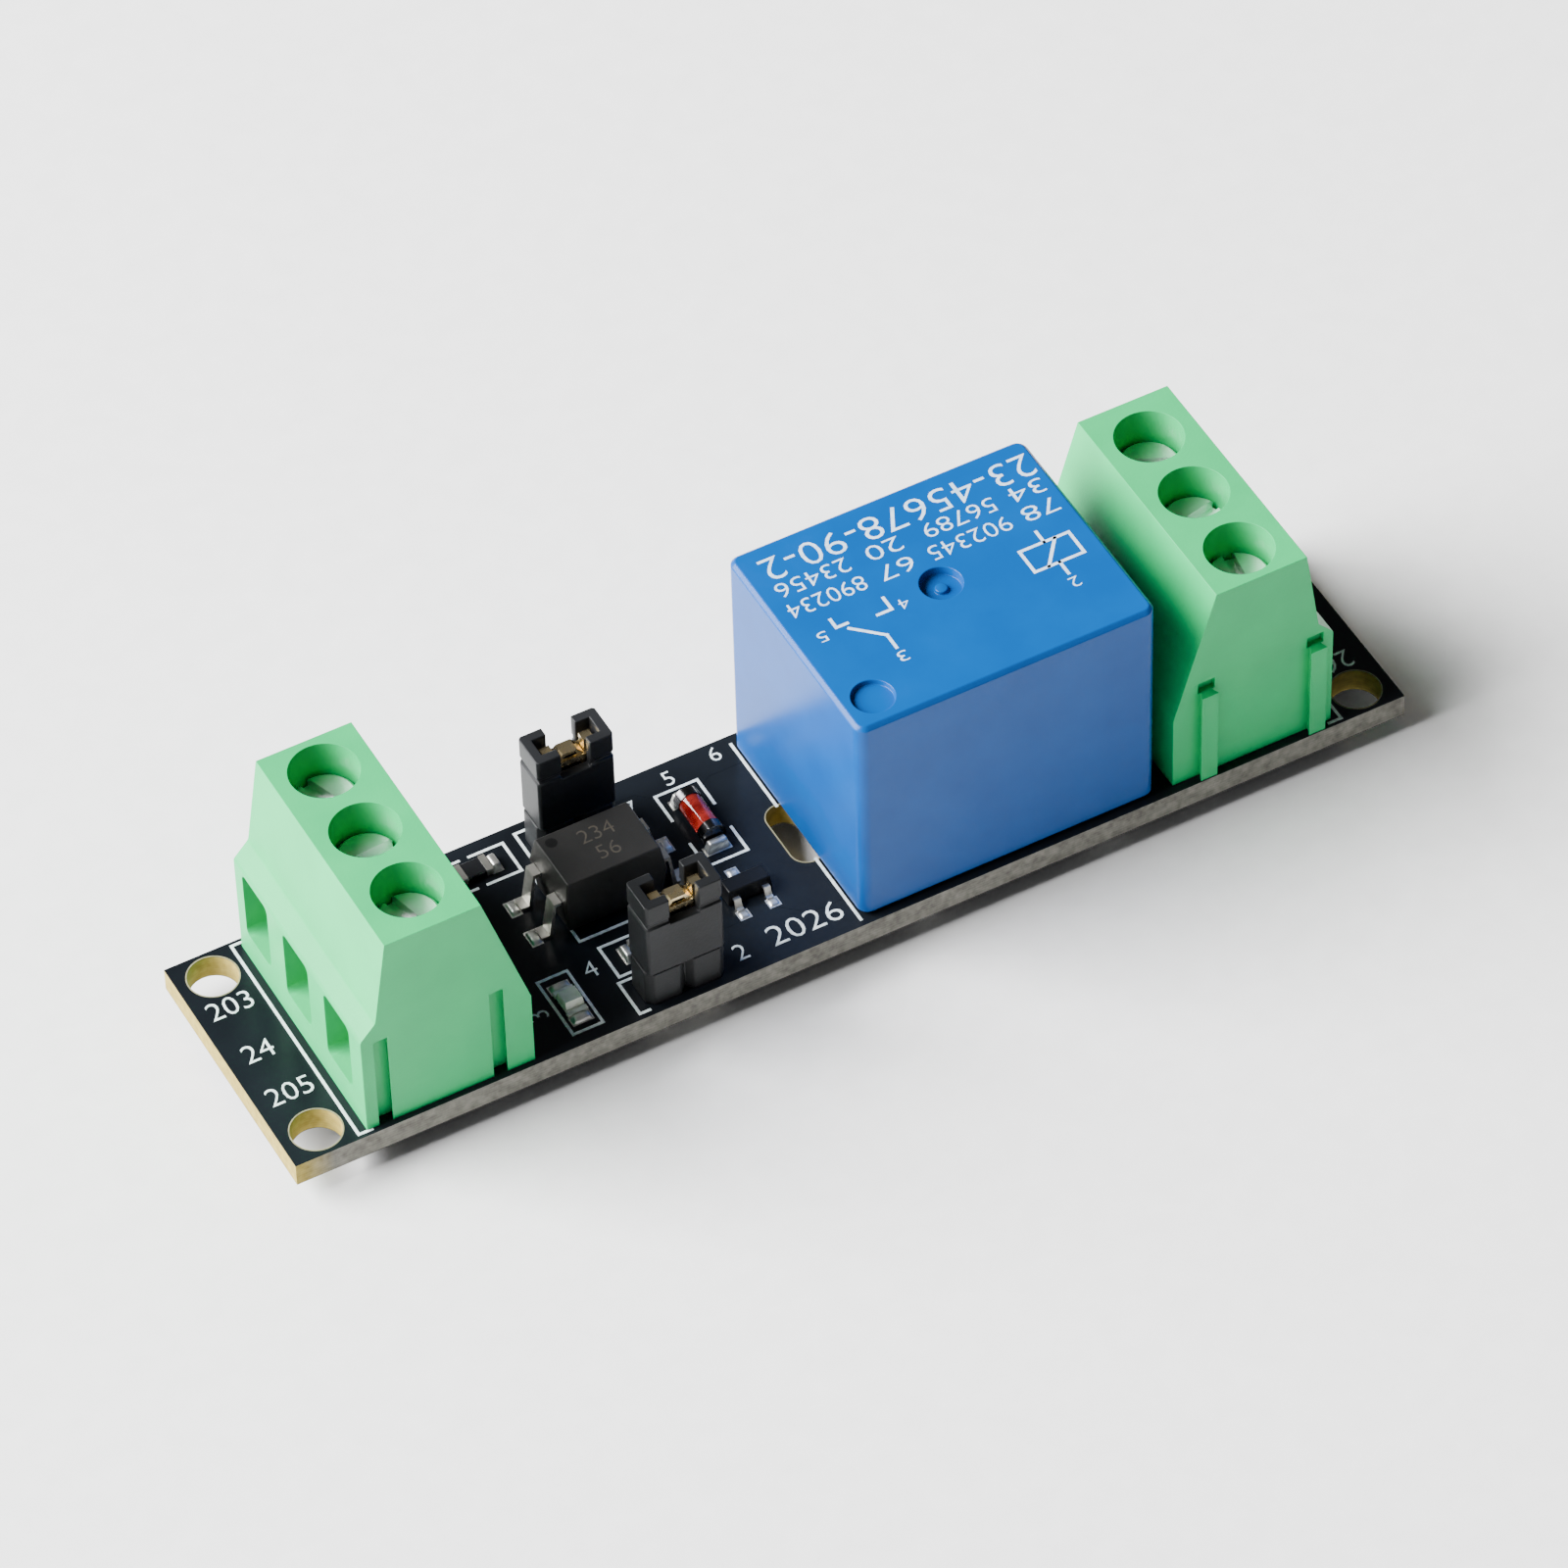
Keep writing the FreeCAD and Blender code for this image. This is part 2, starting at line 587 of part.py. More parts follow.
def make_board():
    body = new_body("circuit_board")
    sheet_outline = sketch_on(body, "XY_Plane", "board_outline", "tail_length")
    middle_rectangle(sheet_outline, "0", "0", BOARD_LENGTH, BOARD_WIDTH)
    pad(body, sheet_outline, "board_sheet", "board_thickness")

    holes = sketch_on(body, "XY_Plane", "board_holes", "tail_length")
    for x_sign in (1, -1):
        for y_sign in (1, -1):
            x = f"{x_sign} * ({BOARD_LENGTH} / 2 - fixing_hole_end)"
            y = f"{y_sign} * ({BOARD_WIDTH} / 2 - fixing_hole_side)"
            circle(holes, x, y, "fixing_hole_radius")
    pocket(body, holes, "board_drilling", "board_thickness", reverse=True)

    # Solder fills the drilled hole round each tail, so the opening left is the tail's own
    tails = sketch_on(body, "XY_Plane", "board_tail_openings", "tail_length")
    for (x, y), (length, width) in soldered_spots():
        middle_rectangle(tails, x, y, f"({length} + 2 * tail_gap)", f"({width} + 2 * tail_gap)")
    pocket(body, tails, "board_openings", "board_thickness", reverse=True)

    mill = sketch_on(body, "XY_Plane", "board_slot_outline", "tail_length")
    x = from_left(f"({RELAY_LEFT} - slot_lead + slot_width / 2)")
    middle_rectangle(mill, x, from_front("slot_middle"), "slot_width", "slot_length")
    slot = pocket(body, mill, "board_slot", "board_thickness", reverse=True)

    slot_sides = [measure(f"{x} + {sign} * slot_width / 2") for sign in (-1, 1)]

    def in_slot(edge):
        return runs_along(edge, UP) and min(abs(edge.BoundBox.XMin - side) for side in slot_sides) < CLOSE

    round_edges(body, slot, "board_slot_corners", "slot_corner", in_slot)
    keep(body, "circuit_board")


# Terminal blocks

def dovetail(sketch, x, y, root, tip, depth):
    """A dovetail's section: root on the face at y, wider tip at y + depth."""
    outline(sketch, [
        (f"{x} - ({root}) / 2", y),
        (f"{x} + ({root}) / 2", y),
        (f"{x} + ({tip}) / 2", f"{y} + {depth}"),
        (f"{x} - ({tip}) / 2", f"{y} + {depth}"),
    ])


def make_housing(name, side):
    body = new_body(f"{name}_terminal_housing")
    profile = sketch_on(body, "XZ_Plane", f"{name}_profile")
    outline(profile, [
        ("0", "0"),
        ("0", "shoulder_height"),
        ("shoulder_depth", "shoulder_top"),
        ("top_front", "block_height"),
        ("top_rear", "block_height"),
        ("block_depth", "rear_height"),
        ("block_depth", "0"),
    ])
    shell = pad(body, profile, f"{name}_block", BLOCK_WIDTH, reverse=True)
    shoulder = [("0", "shoulder_height"), ("shoulder_depth", "shoulder_top")]

    def on_shoulder(edge):
        return runs_along(edge, ACROSS) and any(lies_at(edge, x, z) for x, z in shoulder)

    round_edges(body, shell, f"{name}_shoulder", "shoulder_round", on_shoulder)

    # A chamber for each clamp, open below, with a slot behind it for the contact's leg
    chambers = sketch_on(body, "XY_Plane", f"{name}_chambers")
    for pole in range(POLES):
        middle_rectangle(
            chambers, "screw_setback", pole_y(pole),
            "(clamp_length + 4 * clamp_play)", f"({CLAMP_WIDTH} + 2 * clamp_play)",
        )
    pocket(body, chambers, f"{name}_chamber", CHAMBER_TOP, reverse=True)
    leg_slots = sketch_on(body, "XY_Plane", f"{name}_leg_slots")
    for pole in range(POLES):
        rectangle(
            leg_slots,
            "screw_setback", f"{pole_y(pole)} - {CONTACT_WIDTH} / 2 - screw_play",
            "block_depth - contact_leg_rear", f"{pole_y(pole)} + {CONTACT_WIDTH} / 2 + screw_play",
        )
    pocket(body, leg_slots, f"{name}_leg_slot", CONTACT_TOP, reverse=True)

    # Wire entries, with rounded corners
    windows = sketch_on(body, "YZ_Plane", f"{name}_windows")
    for pole in range(POLES):
        rectangle(
            windows,
            f"{pole_y(pole)} - window_width / 2", "window_bottom",
            f"{pole_y(pole)} + window_width / 2", "window_top",
        )
    entry = pocket(body, windows, f"{name}_entry", "screw_setback", reverse=True)
    sill, head = measure("window_bottom"), measure("window_top")
    half_window = measure("window_width / 2")
    middles = [measure(pole_y(pole)) for pole in range(POLES)]

    def at_window_corner(edge):
        if not runs_along(edge, ALONG):
            return False
        y, z = edge.BoundBox.YMin, edge.BoundBox.ZMin
        level = min(abs(z - sill), abs(z - head)) < CLOSE
        return level and min(abs(abs(y - middle) - half_window) for middle in middles) < CLOSE

    round_edges(body, entry, f"{name}_entry_corners", "window_round", at_window_corner)

    # Wells for the screwdriver, and the neck that each screw passes through
    wells = sketch_on(body, "XY_Plane", f"{name}_wells", "block_height")
    necks = sketch_on(body, "XY_Plane", f"{name}_necks", "block_height")
    for pole in range(POLES):
        circle(wells, "screw_setback", pole_y(pole), "well_radius")
        circle(necks, "screw_setback", pole_y(pole), "(screw_radius + screw_gap)")
    pocket(body, wells, f"{name}_well", "well_depth")
    pocket(body, necks, f"{name}_neck", "well_depth + well_floor")

    # Dovetail grooves on one end and matching ribs on the other, so that blocks join
    grooves = sketch_on(body, "XY_Plane", f"{name}_grooves")
    for x in ("rib_front", "rib_rear"):
        dovetail(
            grooves, x, "0", "(rib_root + 2 * rib_play)", "(rib_tip + 2 * rib_play)",
            "(rib_depth + rib_play)",
        )
    pocket(body, grooves, f"{name}_groove", "rib_height + rib_play", reverse=True)
    ribs = sketch_on(body, "XY_Plane", f"{name}_ribs")
    for x in ("rib_front", "rib_rear"):
        dovetail(ribs, x, BLOCK_WIDTH, "rib_root", "rib_tip", "rib_depth")
    pad(body, ribs, f"{name}_rib", "rib_height")
    reliefs = sketch_on(body, "XY_Plane", f"{name}_reliefs", "rib_height + relief_height")
    for x in ("rib_front", "rib_rear"):
        rectangle(
            reliefs,
            f"{x} - rib_tip / 2", f"{BLOCK_WIDTH} - relief_depth",
            f"{x} + rib_tip / 2", f"{BLOCK_WIDTH} + relief_depth",
        )
    pocket(body, reliefs, f"{name}_relief", "relief_height")
    seat_in_block(body, side, "0", "0")
    keep(body, f"{name}_terminal_housing")


def make_screw(name, side, pole, turn):
    """A captive slotted clamp screw. Its tip bears on the contact strip."""
    label = f"{name}_terminal_screw_{pole + 1}"
    body = new_body(label)
    tip = f"({CONTACT_TOP} + screw_play)"
    under_head = "(block_height - well_depth + screw_play)"
    top = f"({under_head} + screw_head_height)"
    profile = sketch_on(body, "XZ_Plane", f"{label}_profile")
    outline(profile, [
        ("0", tip),
        ("screw_radius", tip),
        ("screw_radius", under_head),
        (SCREW_HEAD_RADIUS, under_head),
        (SCREW_HEAD_RADIUS, f"{top} - screw_bevel"),
        (f"({SCREW_HEAD_RADIUS} - screw_bevel)", top),
        ("0", top),
    ])
    turned = body.newObject("PartDesign::Revolution", f"{label}_turned")
    turned.Profile = profile
    turned.ReferenceAxis = (profile, ["V_Axis"])
    turned.Angle = 360
    doc.recompute()
    slot = sketch_on(body, "XY_Plane", f"{label}_slot_outline", top)
    middle_rectangle(slot, "0", "0", "2 * well_radius", "driver_slot_width")
    pocket(body, slot, f"{label}_slot", "driver_slot_depth")
    seat_in_block(body, side, "screw_setback", pole_y(pole), turn)
    keep(body, label)


def make_clamp(name, side, pole):
    """The rising cage that lifts the wire against the contact strip."""
    label = f"{name}_wire_clamp_{pole + 1}"
    body = new_body(label)
    inner_height = f"({CONTACT_TOP} + screw_play - clamp_bottom - clamp_floor)"
    top = f"(clamp_bottom + clamp_floor + {inner_height} + clamp_roof)"
    ring = sketch_on(body, "YZ_Plane", f"{label}_section")
    rectangle(ring, f"-{CLAMP_WIDTH} / 2", "clamp_bottom", f"{CLAMP_WIDTH} / 2", top)
    cage = pad(body, ring, f"{label}_cage", "clamp_length", both_ways=True)
    bevel_edges(
        body, cage, f"{label}_bends", "clamp_bevel",
        lambda edge: runs_along(edge, ALONG),
    )
    throat = sketch_on(body, "YZ_Plane", f"{label}_throat_outline", "-clamp_length")
    rectangle(
        throat,
        f"clamp_side - {CLAMP_WIDTH} / 2", "clamp_bottom + clamp_floor",
        f"{CLAMP_WIDTH} / 2 - clamp_side", f"{top} - clamp_roof",
    )
    pocket(body, throat, f"{label}_throat", "2 * clamp_length", reverse=True)
    thread = sketch_on(body, "XY_Plane", f"{label}_thread_outline", top)
    circle(thread, "0", "0", "(screw_radius + screw_play)")
    pocket(body, thread, f"{label}_thread", "clamp_roof")
    seat_in_block(body, side, "screw_setback", pole_y(pole))
    keep(body, label)


def make_contact_strip(name, side, pole):
    """Fixed contact: a finger through the clamp, a leg, and a soldered tail."""
    label = f"{name}_terminal_contact_{pole + 1}"
    body = new_body(label)
    bent = sketch_on(body, "XZ_Plane", f"{label}_bent_strip")
    finger_tip = "(screw_setback - clamp_length / 2 - clamp_play)"
    outline(bent, [
        (finger_tip, "contact_bottom"),
        (finger_tip, CONTACT_TOP),
        (f"({LEG_X} + contact_thickness)", CONTACT_TOP),
        (f"({LEG_X} + contact_thickness)", "0"),
        (LEG_X, "0"),
        (LEG_X, "contact_bottom"),
    ])
    pad(body, bent, f"{label}_strip", CONTACT_WIDTH, both_ways=True)
    tail = sketch_on(body, "XY_Plane", f"{label}_tail_outline")
    tail_x = f"({LEG_X} + contact_thickness / 2)"
    middle_rectangle(tail, tail_x, "0", "contact_thickness", "contact_tail_width")
    pad(body, tail, f"{label}_tail", BOARD_TOP, reverse=True)
    seat_in_block(body, side, "0", pole_y(pole))
    keep(body, label)


# Turn of each screw's slot from the board's length, as the photograph shows them
SCREW_TURNS = {"input": (-75, 4, -70), "output": (-25, 12, 82)}


def make_terminal_block(name, side):
    make_housing(name, side)
    for pole in range(POLES):
        make_screw(name, side, pole, SCREW_TURNS[name][pole])
        make_clamp(name, side, pole)
        make_contact_strip(name, side, pole)


# Relay

def make_relay_cover():
    body = new_body("relay_cover")
    foot = sketch_on(body, "XY_Plane", "cover_outline", "relay_lift")
    middle_rectangle(foot, "0", "0", "relay_length", "relay_width")
    block = pad(body, foot, "cover_block", "relay_height - relay_lift")
    corners = round_edges(body, block, "cover_corners", "cover_corner", lambda edge: runs_along(edge, UP))
    bevel_edges(
        body, corners, "cover_top_edges", "cover_edge",
        lambda edge: at_height(edge, "relay_height"),
    )
    inside = sketch_on(body, "XY_Plane", "cover_inside", "relay_lift")
    middle_rectangle(
        inside, "0", "0", "(relay_length - 2 * cover_wall)", "(relay_width - 2 * cover_wall)",
    )
    pocket(body, inside, "cover_hollow", "relay_height - relay_lift - cover_roof", reverse=True)

    # Two round recesses in the top: the moulding gate in the middle, the vent in a corner
    gate = sketch_on(body, "XY_Plane", "gate_outline", "relay_height")
    circle(gate, "0", "0", "gate_radius")
    pocket(body, gate, "gate_recess", "gate_depth")
    vent = sketch_on(body, "XY_Plane", "vent_outline", "relay_height")
    circle(vent, "vent_inset_x - relay_length / 2", "vent_inset_y - relay_width / 2", "gate_radius")
    pocket(body, vent, "vent_recess", "vent_depth")
    nib = sketch_on(body, "XY_Plane", "nib_outline", "relay_height - gate_depth")
    circle(nib, "0", "0", "nib_radius")
    pad(body, nib, "gate_nib", "nib_height")
    seat_on_board(body, f"({RELAY_X} + relay_length / 2)", RELAY_Y)
    keep(body, "relay_cover")


def make_relay_base():
    """The plate that closes the relay's cover below, on four standing feet."""
    body = new_body("relay_base")
    x_middle = f"({RELAY_X} + relay_length / 2)"
    half_x = "(relay_length / 2 - cover_wall - base_gap)"
    half_y = "(relay_width / 2 - cover_wall - base_gap)"
    floor = sketch_on(body, "XY_Plane", "base_outline", "relay_lift")
    middle_rectangle(floor, "0", "0", f"2 * {half_x}", f"2 * {half_y}")
    pad(body, floor, "base_plate", "base_thickness")
    feet = sketch_on(body, "XY_Plane", "feet_outline", "relay_lift")
    for x_sign in (1, -1):
        for y_sign in (1, -1):
            foot_x, foot_y = f"{x_sign} * ({half_x} - foot_inset)", f"{y_sign} * ({half_y} / 2)"
            middle_rectangle(feet, foot_x, foot_y, "foot_size", "foot_size")
    pad(body, feet, "base_feet", "relay_lift", reverse=True)
    pin_slots = sketch_on(body, "XY_Plane", "base_pin_slots", "relay_lift")
    for (x, y), (length, width) in relay_spots():
        middle_rectangle(
            pin_slots, f"({x} - {x_middle})", f"({y} - {RELAY_Y})",
            f"({length} + 2 * contact_play)", f"({width} + 2 * contact_play)",
        )
    pocket(body, pin_slots, "base_pin_openings", "base_thickness", reverse=True)
    seat_on_board(body, x_middle, RELAY_Y)
    keep(body, "relay_base")


def make_yoke():
    """L-shaped iron: a flat leg under the coil and an upright leg beside it."""
    body = new_body("relay_yoke")
    bent = sketch_on(body, "XZ_Plane", "yoke_outline")
    outline(bent, [
        (YOKE_LEFT, BASE_TOP),
        (YOKE_LEFT, YOKE_TOP),
        (YOKE_RIGHT, YOKE_TOP),
        (YOKE_RIGHT, f"({BASE_TOP} + yoke_thickness)"),
        (f"({YOKE_LEFT} + yoke_reach)", f"({BASE_TOP} + yoke_thickness)"),
        (f"({YOKE_LEFT} + yoke_reach)", BASE_TOP),
    ])
    strip = pad(body, bent, "yoke_strip", "yoke_width", both_ways=True)
    round_edges(
        body, strip, "yoke_bend", "yoke_bend_radius",
        lambda edge: runs_along(edge, ACROSS) and lies_at(edge, YOKE_LEFT, BASE_TOP),
    )
    seat_on_board(body, RELAY_X, RELAY_Y)
    keep(body, "relay_yoke")


def make_coil():
    """Core, bobbin and winding, on one upright axis."""
    x, y = relay_spot(CORE_X)
    leg_top = f"({BASE_TOP} + yoke_thickness)"
    pole_top = f"({ARMATURE_BOTTOM} - pole_gap)"
    pole_foot = f"({pole_top} - pole_thickness)"
    on_board = f"{BOARD_TOP} + "
    rod = cylinder("core_rod", "core_radius", f"{pole_foot} - {leg_top}", (x, y, on_board + leg_top))
    head = cylinder("core_head", "pole_radius", "pole_thickness", (x, y, on_board + pole_foot))
    keep(fuse("relay_core", [rod, head]), "relay_core")

    bore = "(core_radius + bobbin_bore_gap)"
    barrel_radius = f"({bore} + bobbin_barrel_wall)"
    across = f"2 * ({PIN_SPREAD} - coil_pin / 2 - bobbin_side_gap)"
    flange = ("bobbin_flange_x", across, "bobbin_flange")
    lower = upright_box("bobbin_lower_flange", flange, (x, y, on_board + leg_top))
    upper = upright_box("bobbin_upper_flange", flange, (x, y, f"{BOARD_TOP} + {pole_foot} - bobbin_flange"))
    tube = cylinder("bobbin_barrel", barrel_radius, f"{pole_foot} - {leg_top}", (x, y, on_board + leg_top))
    hole = cylinder("bobbin_bore", bore, YOKE_TOP, (x, y, on_board + BASE_TOP))
    keep(cut("relay_bobbin", fuse("bobbin_form", [lower, upper, tube]), hole), "relay_bobbin")

    wound_foot = f"({leg_top} + bobbin_flange + coil_gap)"
    wound = f"{pole_foot} - bobbin_flange - coil_gap - {wound_foot}"
    outside = "(bobbin_flange_x / 2 - coil_inset)"
    turns = cylinder("coil_outside", outside, wound, (x, y, on_board + wound_foot))
    inside = cylinder("coil_inside", f"{barrel_radius} + coil_gap", wound, (x, y, on_board + wound_foot))
    keep(cut("relay_coil", turns, inside), "relay_coil")


def make_armature():
    """Rocking iron plate, and the contact leaf that it carries."""
    body = new_body("relay_armature")
    left = f"({YOKE_RIGHT} - armature_heel)"
    side = sketch_on(body, "XZ_Plane", "armature_side")
    rectangle(side, left, ARMATURE_BOTTOM, f"({left} + armature_length)", LEAF_BOTTOM)
    plate = pad(body, side, "armature_plate", "armature_width", both_ways=True)
    far_end = measure(f"{left} + armature_length")
    round_edges(
        body, plate, "armature_corners", "armature_round",
        lambda edge: runs_along(edge, UP) and abs(edge.BoundBox.XMax - far_end) < CLOSE,
    )
    seat_on_board(body, RELAY_X, RELAY_Y)
    keep(body, "relay_armature")

    leaf = new_body("relay_contact_leaf")
    sprung = sketch_on(leaf, "XY_Plane", "leaf_outline", LEAF_BOTTOM)
    rectangle(sprung, left, "-leaf_width / 2", LEAF_END, "leaf_width / 2")
    flat = pad(leaf, sprung, "leaf_sheet", "leaf_thickness")
    tip = measure(LEAF_END)
    round_edges(
        leaf, flat, "leaf_corners", "button_radius",
        lambda edge: runs_along(edge, UP) and abs(edge.BoundBox.XMax - tip) < CLOSE,
    )
    for name, level, up in (("upper", LEAF_TOP, False), ("lower", LEAF_BOTTOM, True)):
        button = sketch_on(leaf, "XY_Plane", f"{name}_button_outline", level)
        circle(button, BUTTON_X, "0", "button_radius")
        pad(leaf, button, f"{name}_button", "button_height", reverse=up)
    seat_on_board(leaf, RELAY_X, RELAY_Y)
    keep(leaf, "relay_contact_leaf")


def make_fixed_contact(label, side, button_level, faces_down):
    """A fixed contact: soldered pin, upright plate, and a tab with its button.

    side is 1 for the pin at the back and -1 for the one at the front.
    """
    if faces_down:
        tab_bottom = f"({button_level} + fixed_button_height)"
        button_foot = button_level
    else:
        tab_bottom = f"({button_level} - fixed_button_height - fixed_plate)"
        button_foot = f"({button_level} - fixed_button_height)"
    plate_left = f"({RELAY_X} + {CONTACT_PIN_X} - relay_pin_thickness / 2)"
    pin_edge = f"({PIN_SPREAD} + relay_pin_width / 2)"
    near = f"({RELAY_Y} + {side} * {pin_edge})"
    far = f"({RELAY_Y} - {side} * leaf_width / 4)"
    plate_y = near if side < 0 else far
    plate_width = f"({pin_edge} + leaf_width / 4)"
    on_board = f"{BOARD_TOP} + "
    pin_x, pin_y = relay_spot(CONTACT_PIN_X, f"{side} * {PIN_SPREAD}")
    pin = upright_box(
        f"{label}_pin", ("relay_pin_thickness", "relay_pin_width", f"{BOARD_TOP} + {tab_bottom}"),
        (pin_x, pin_y, "0"),
    )
    plate = box(
        f"{label}_plate", ("relay_pin_thickness", plate_width, "fixed_plate_drop"),
        (plate_left, plate_y, f"{BOARD_TOP} + {tab_bottom} + fixed_plate - fixed_plate_drop"),
    )
    tab_left = f"({RELAY_X} + {BUTTON_X} - button_radius)"
    tab = box(
        f"{label}_tab", (f"{plate_left} - {tab_left}", "leaf_width / 2", "fixed_plate"),
        (tab_left, f"{RELAY_Y} - leaf_width / 4", on_board + tab_bottom),
    )
    button_x, button_y = relay_spot(BUTTON_X)
    button = cylinder(
        f"{label}_button", "button_radius", "fixed_button_height",
        (button_x, button_y, on_board + button_foot),
    )
    keep(fuse(label, [pin, plate, tab, button]), label)


def make_relay_pins():
    x, y = relay_spot("common_pin_offset")
    tail = upright_box(
        "common_tail", ("relay_pin_thickness", "relay_pin_width", f"{BOARD_TOP} + {BASE_TOP}"),
        (x, y, "0"),
    )
    staked = upright_box(
        "common_strip", ("relay_pin_thickness", "common_strip_width", "common_strip_height"),
        (x, y, f"{BOARD_TOP} + {BASE_TOP}"),
    )
    keep(fuse("relay_common_terminal", [tail, staked]), "relay_common_terminal")
    wires = []
    for side in (1, -1):
        x, y = relay_spot("coil_pin_offset", f"{side} * {PIN_SPREAD}")
        end = "back" if side > 0 else "front"
        size = ("coil_pin", "coil_pin", f"{BOARD_TOP} + coil_pin_rise")
        wires.append(upright_box(f"coil_pin_{end}", size, (x, y, "0")))
    keep(group("relay_coil_pins", wires), "relay_coil_pins")


def make_relay():
    make_relay_cover()
    make_relay_base()
    make_yoke()
    make_coil()
    make_armature()
    moving_top = f"({LEAF_TOP} + button_height)"
    moving_bottom = f"({LEAF_BOTTOM} - button_height)"
    make_fixed_contact("relay_rest_contact", 1, f"({moving_top} + contact_play)", True)
    make_fixed_contact("relay_work_contact", -1, f"({moving_bottom} - contact_stroke)", False)
    make_relay_pins()


# Jumper headers and caps

def make_header(number):
    label = f"jumper_header_{number}"
    body = new_body(label)
    plan = sketch_on(body, "XY_Plane", f"{label}_plan")
    x_end = "header_pitch"
    y_side = "header_width / 2"
    corners = []
    for y_sign in (-1, 1):
        side = [
            (f"-({x_end})", f"{y_sign} * ({y_side} - header_notch)"),
            (f"-({x_end} - header_notch)", f"{y_sign} * {y_side}"),
            ("-header_notch", f"{y_sign} * {y_side}"),
            ("0", f"{y_sign} * ({y_side} - header_notch)"),
            ("header_notch", f"{y_sign} * {y_side}"),
            (f"{x_end} - header_notch", f"{y_sign} * {y_side}"),
            (x_end, f"{y_sign} * ({y_side} - header_notch)"),
        ]
        corners += side if y_sign < 0 else list(reversed(side))
    outline(plan, corners)
    pad(body, plan, f"{label}_insulator", "header_height")
    holes = sketch_on(body, "XY_Plane", f"{label}_pin_holes")
    for sign in (-1, 1):
        middle_rectangle(
            holes, f"{sign} * header_pitch / 2", "0",
            "(header_pin + 2 * clip_play)", "(header_pin + 2 * clip_play)",
        )
    pocket(body, holes, f"{label}_pin_passages", "header_height", reverse=True)
    x, y = header_middle(number)
    seat_on_board(body, x, y)
    keep(body, label)

    pins = []
    for index, (pin_x, pin_y) in enumerate(header_spots(number), start=1):
        size = ("header_pin", "header_pin", f"{BOARD_TOP} + header_pin_top")
        pins.append(upright_box(f"{label}_pin_{index}", size, (pin_x, pin_y, "0")))
    keep(group(f"jumper_pins_{number}", pins), f"jumper_pins_{number}")


def make_cap(number):
    """An open-topped jumper cap: two prongs with a gap between, and a groove round it."""
    label = f"jumper_cap_{number}"
    body = new_body(label)
    foot = sketch_on(body, "XY_Plane", f"{label}_outline", "header_height")
    middle_rectangle(foot, "0", "0", "cap_length", "cap_width")
    block = pad(body, foot, f"{label}_block", "cap_height")
    bevel_edges(body, block, f"{label}_corners", "cap_corner", lambda edge: runs_along(edge, UP))
    gap = sketch_on(body, "XZ_Plane", f"{label}_gap_outline", "-cap_width")
    top = "(header_height + cap_height)"
    rectangle(
        gap, "-cap_notch_width / 2", f"{top} - cap_notch_depth",
        "cap_notch_width / 2", f"{top} + cap_notch_depth",
    )
    pocket(body, gap, f"{label}_gap", "2 * cap_width", reverse=True)
    inside = sketch_on(body, "XY_Plane", f"{label}_inside", "header_height")
    middle_rectangle(inside, "0", "0", "(cap_length - 2 * cap_wall)", "(cap_width - 2 * cap_wall)")
    pocket(body, inside, f"{label}_socket", "cap_height", reverse=True)
    band = sketch_on(body, "XY_Plane", f"{label}_band", f"{top} - cap_band_drop")
    middle_rectangle(band, "0", "0", "2 * cap_length", "2 * cap_width")
    middle_rectangle(
        band, "0", "0", "(cap_length - 2 * cap_band_depth)", "(cap_width - 2 * cap_band_depth)",
    )
    pocket(body, band, f"{label}_groove", "cap_band_height")
    x, y = header_middle(number)
    seat_on_board(body, x, y)
    keep(body, label)


def make_clip(number):
    """Gold clip in a cap: two spring leaves on each pin and an arched bridge between."""
    label = f"jumper_clip_{number}"
    x, y = header_middle(number)
    leaf_y = "(header_pin / 2 + clip_play)"
    foot = f"({BOARD_TOP} + header_height + clip_lift)"
    level = f"({BOARD_TOP} + header_height + clip_rise)"
    wing = "(header_pitch / 2 + header_pin / 2)"
    pieces = []
    for side in (1, -1):
        inner_y = f"{y} + {side} * {leaf_y}"
        corner_y = inner_y if side > 0 else f"{inner_y} - clip_thickness"
        for sign in (1, -1):
            inner_x = f"{x} + {sign} * (header_pitch / 2 - header_pin / 2)"
            corner_x = inner_x if sign > 0 else f"{inner_x} - header_pin"
            pieces.append(box(
                f"{label}_leaf_{len(pieces)}", ("header_pin", "clip_thickness", f"{level} - {foot}"),
                (corner_x, corner_y, foot),
            ))
        pieces.append(box(
            f"{label}_rail_{len(pieces)}", (f"2 * {wing}", "clip_thickness", "2 * clip_thickness"),
            (f"{x} - {wing}", corner_y, f"{level} - 2 * clip_thickness"),
        ))
    half_span = "(header_pitch / 2 - header_pin / 2 - clip_play)"
    arch = new_body(f"{label}_arch")
    side_view = sketch_on(arch, "XZ_Plane", f"{label}_arch_side")
    outline(side_view, [
        (f"-{half_span}", "0"),
        (f"-{half_span} / 2", "clip_arch"),
        (f"{half_span} / 2", "clip_arch"),
        (half_span, "0"),
        (half_span, "-2 * clip_thickness"),
        (f"{half_span} - clip_thickness", "-2 * clip_thickness"),
        (f"{half_span} / 2 - clip_thickness / 2", "clip_arch - clip_thickness"),
        (f"clip_thickness / 2 - {half_span} / 2", "clip_arch - clip_thickness"),
        (f"clip_thickness - {half_span}", "-2 * clip_thickness"),
        (f"-{half_span}", "-2 * clip_thickness"),
    ])
    pad(arch, side_view, f"{label}_bridge", f"2 * {leaf_y} + clip_thickness", both_ways=True)
    place(arch, x, y, level)
    keep(fuse(label, pieces + [arch]), label)


# Surface parts

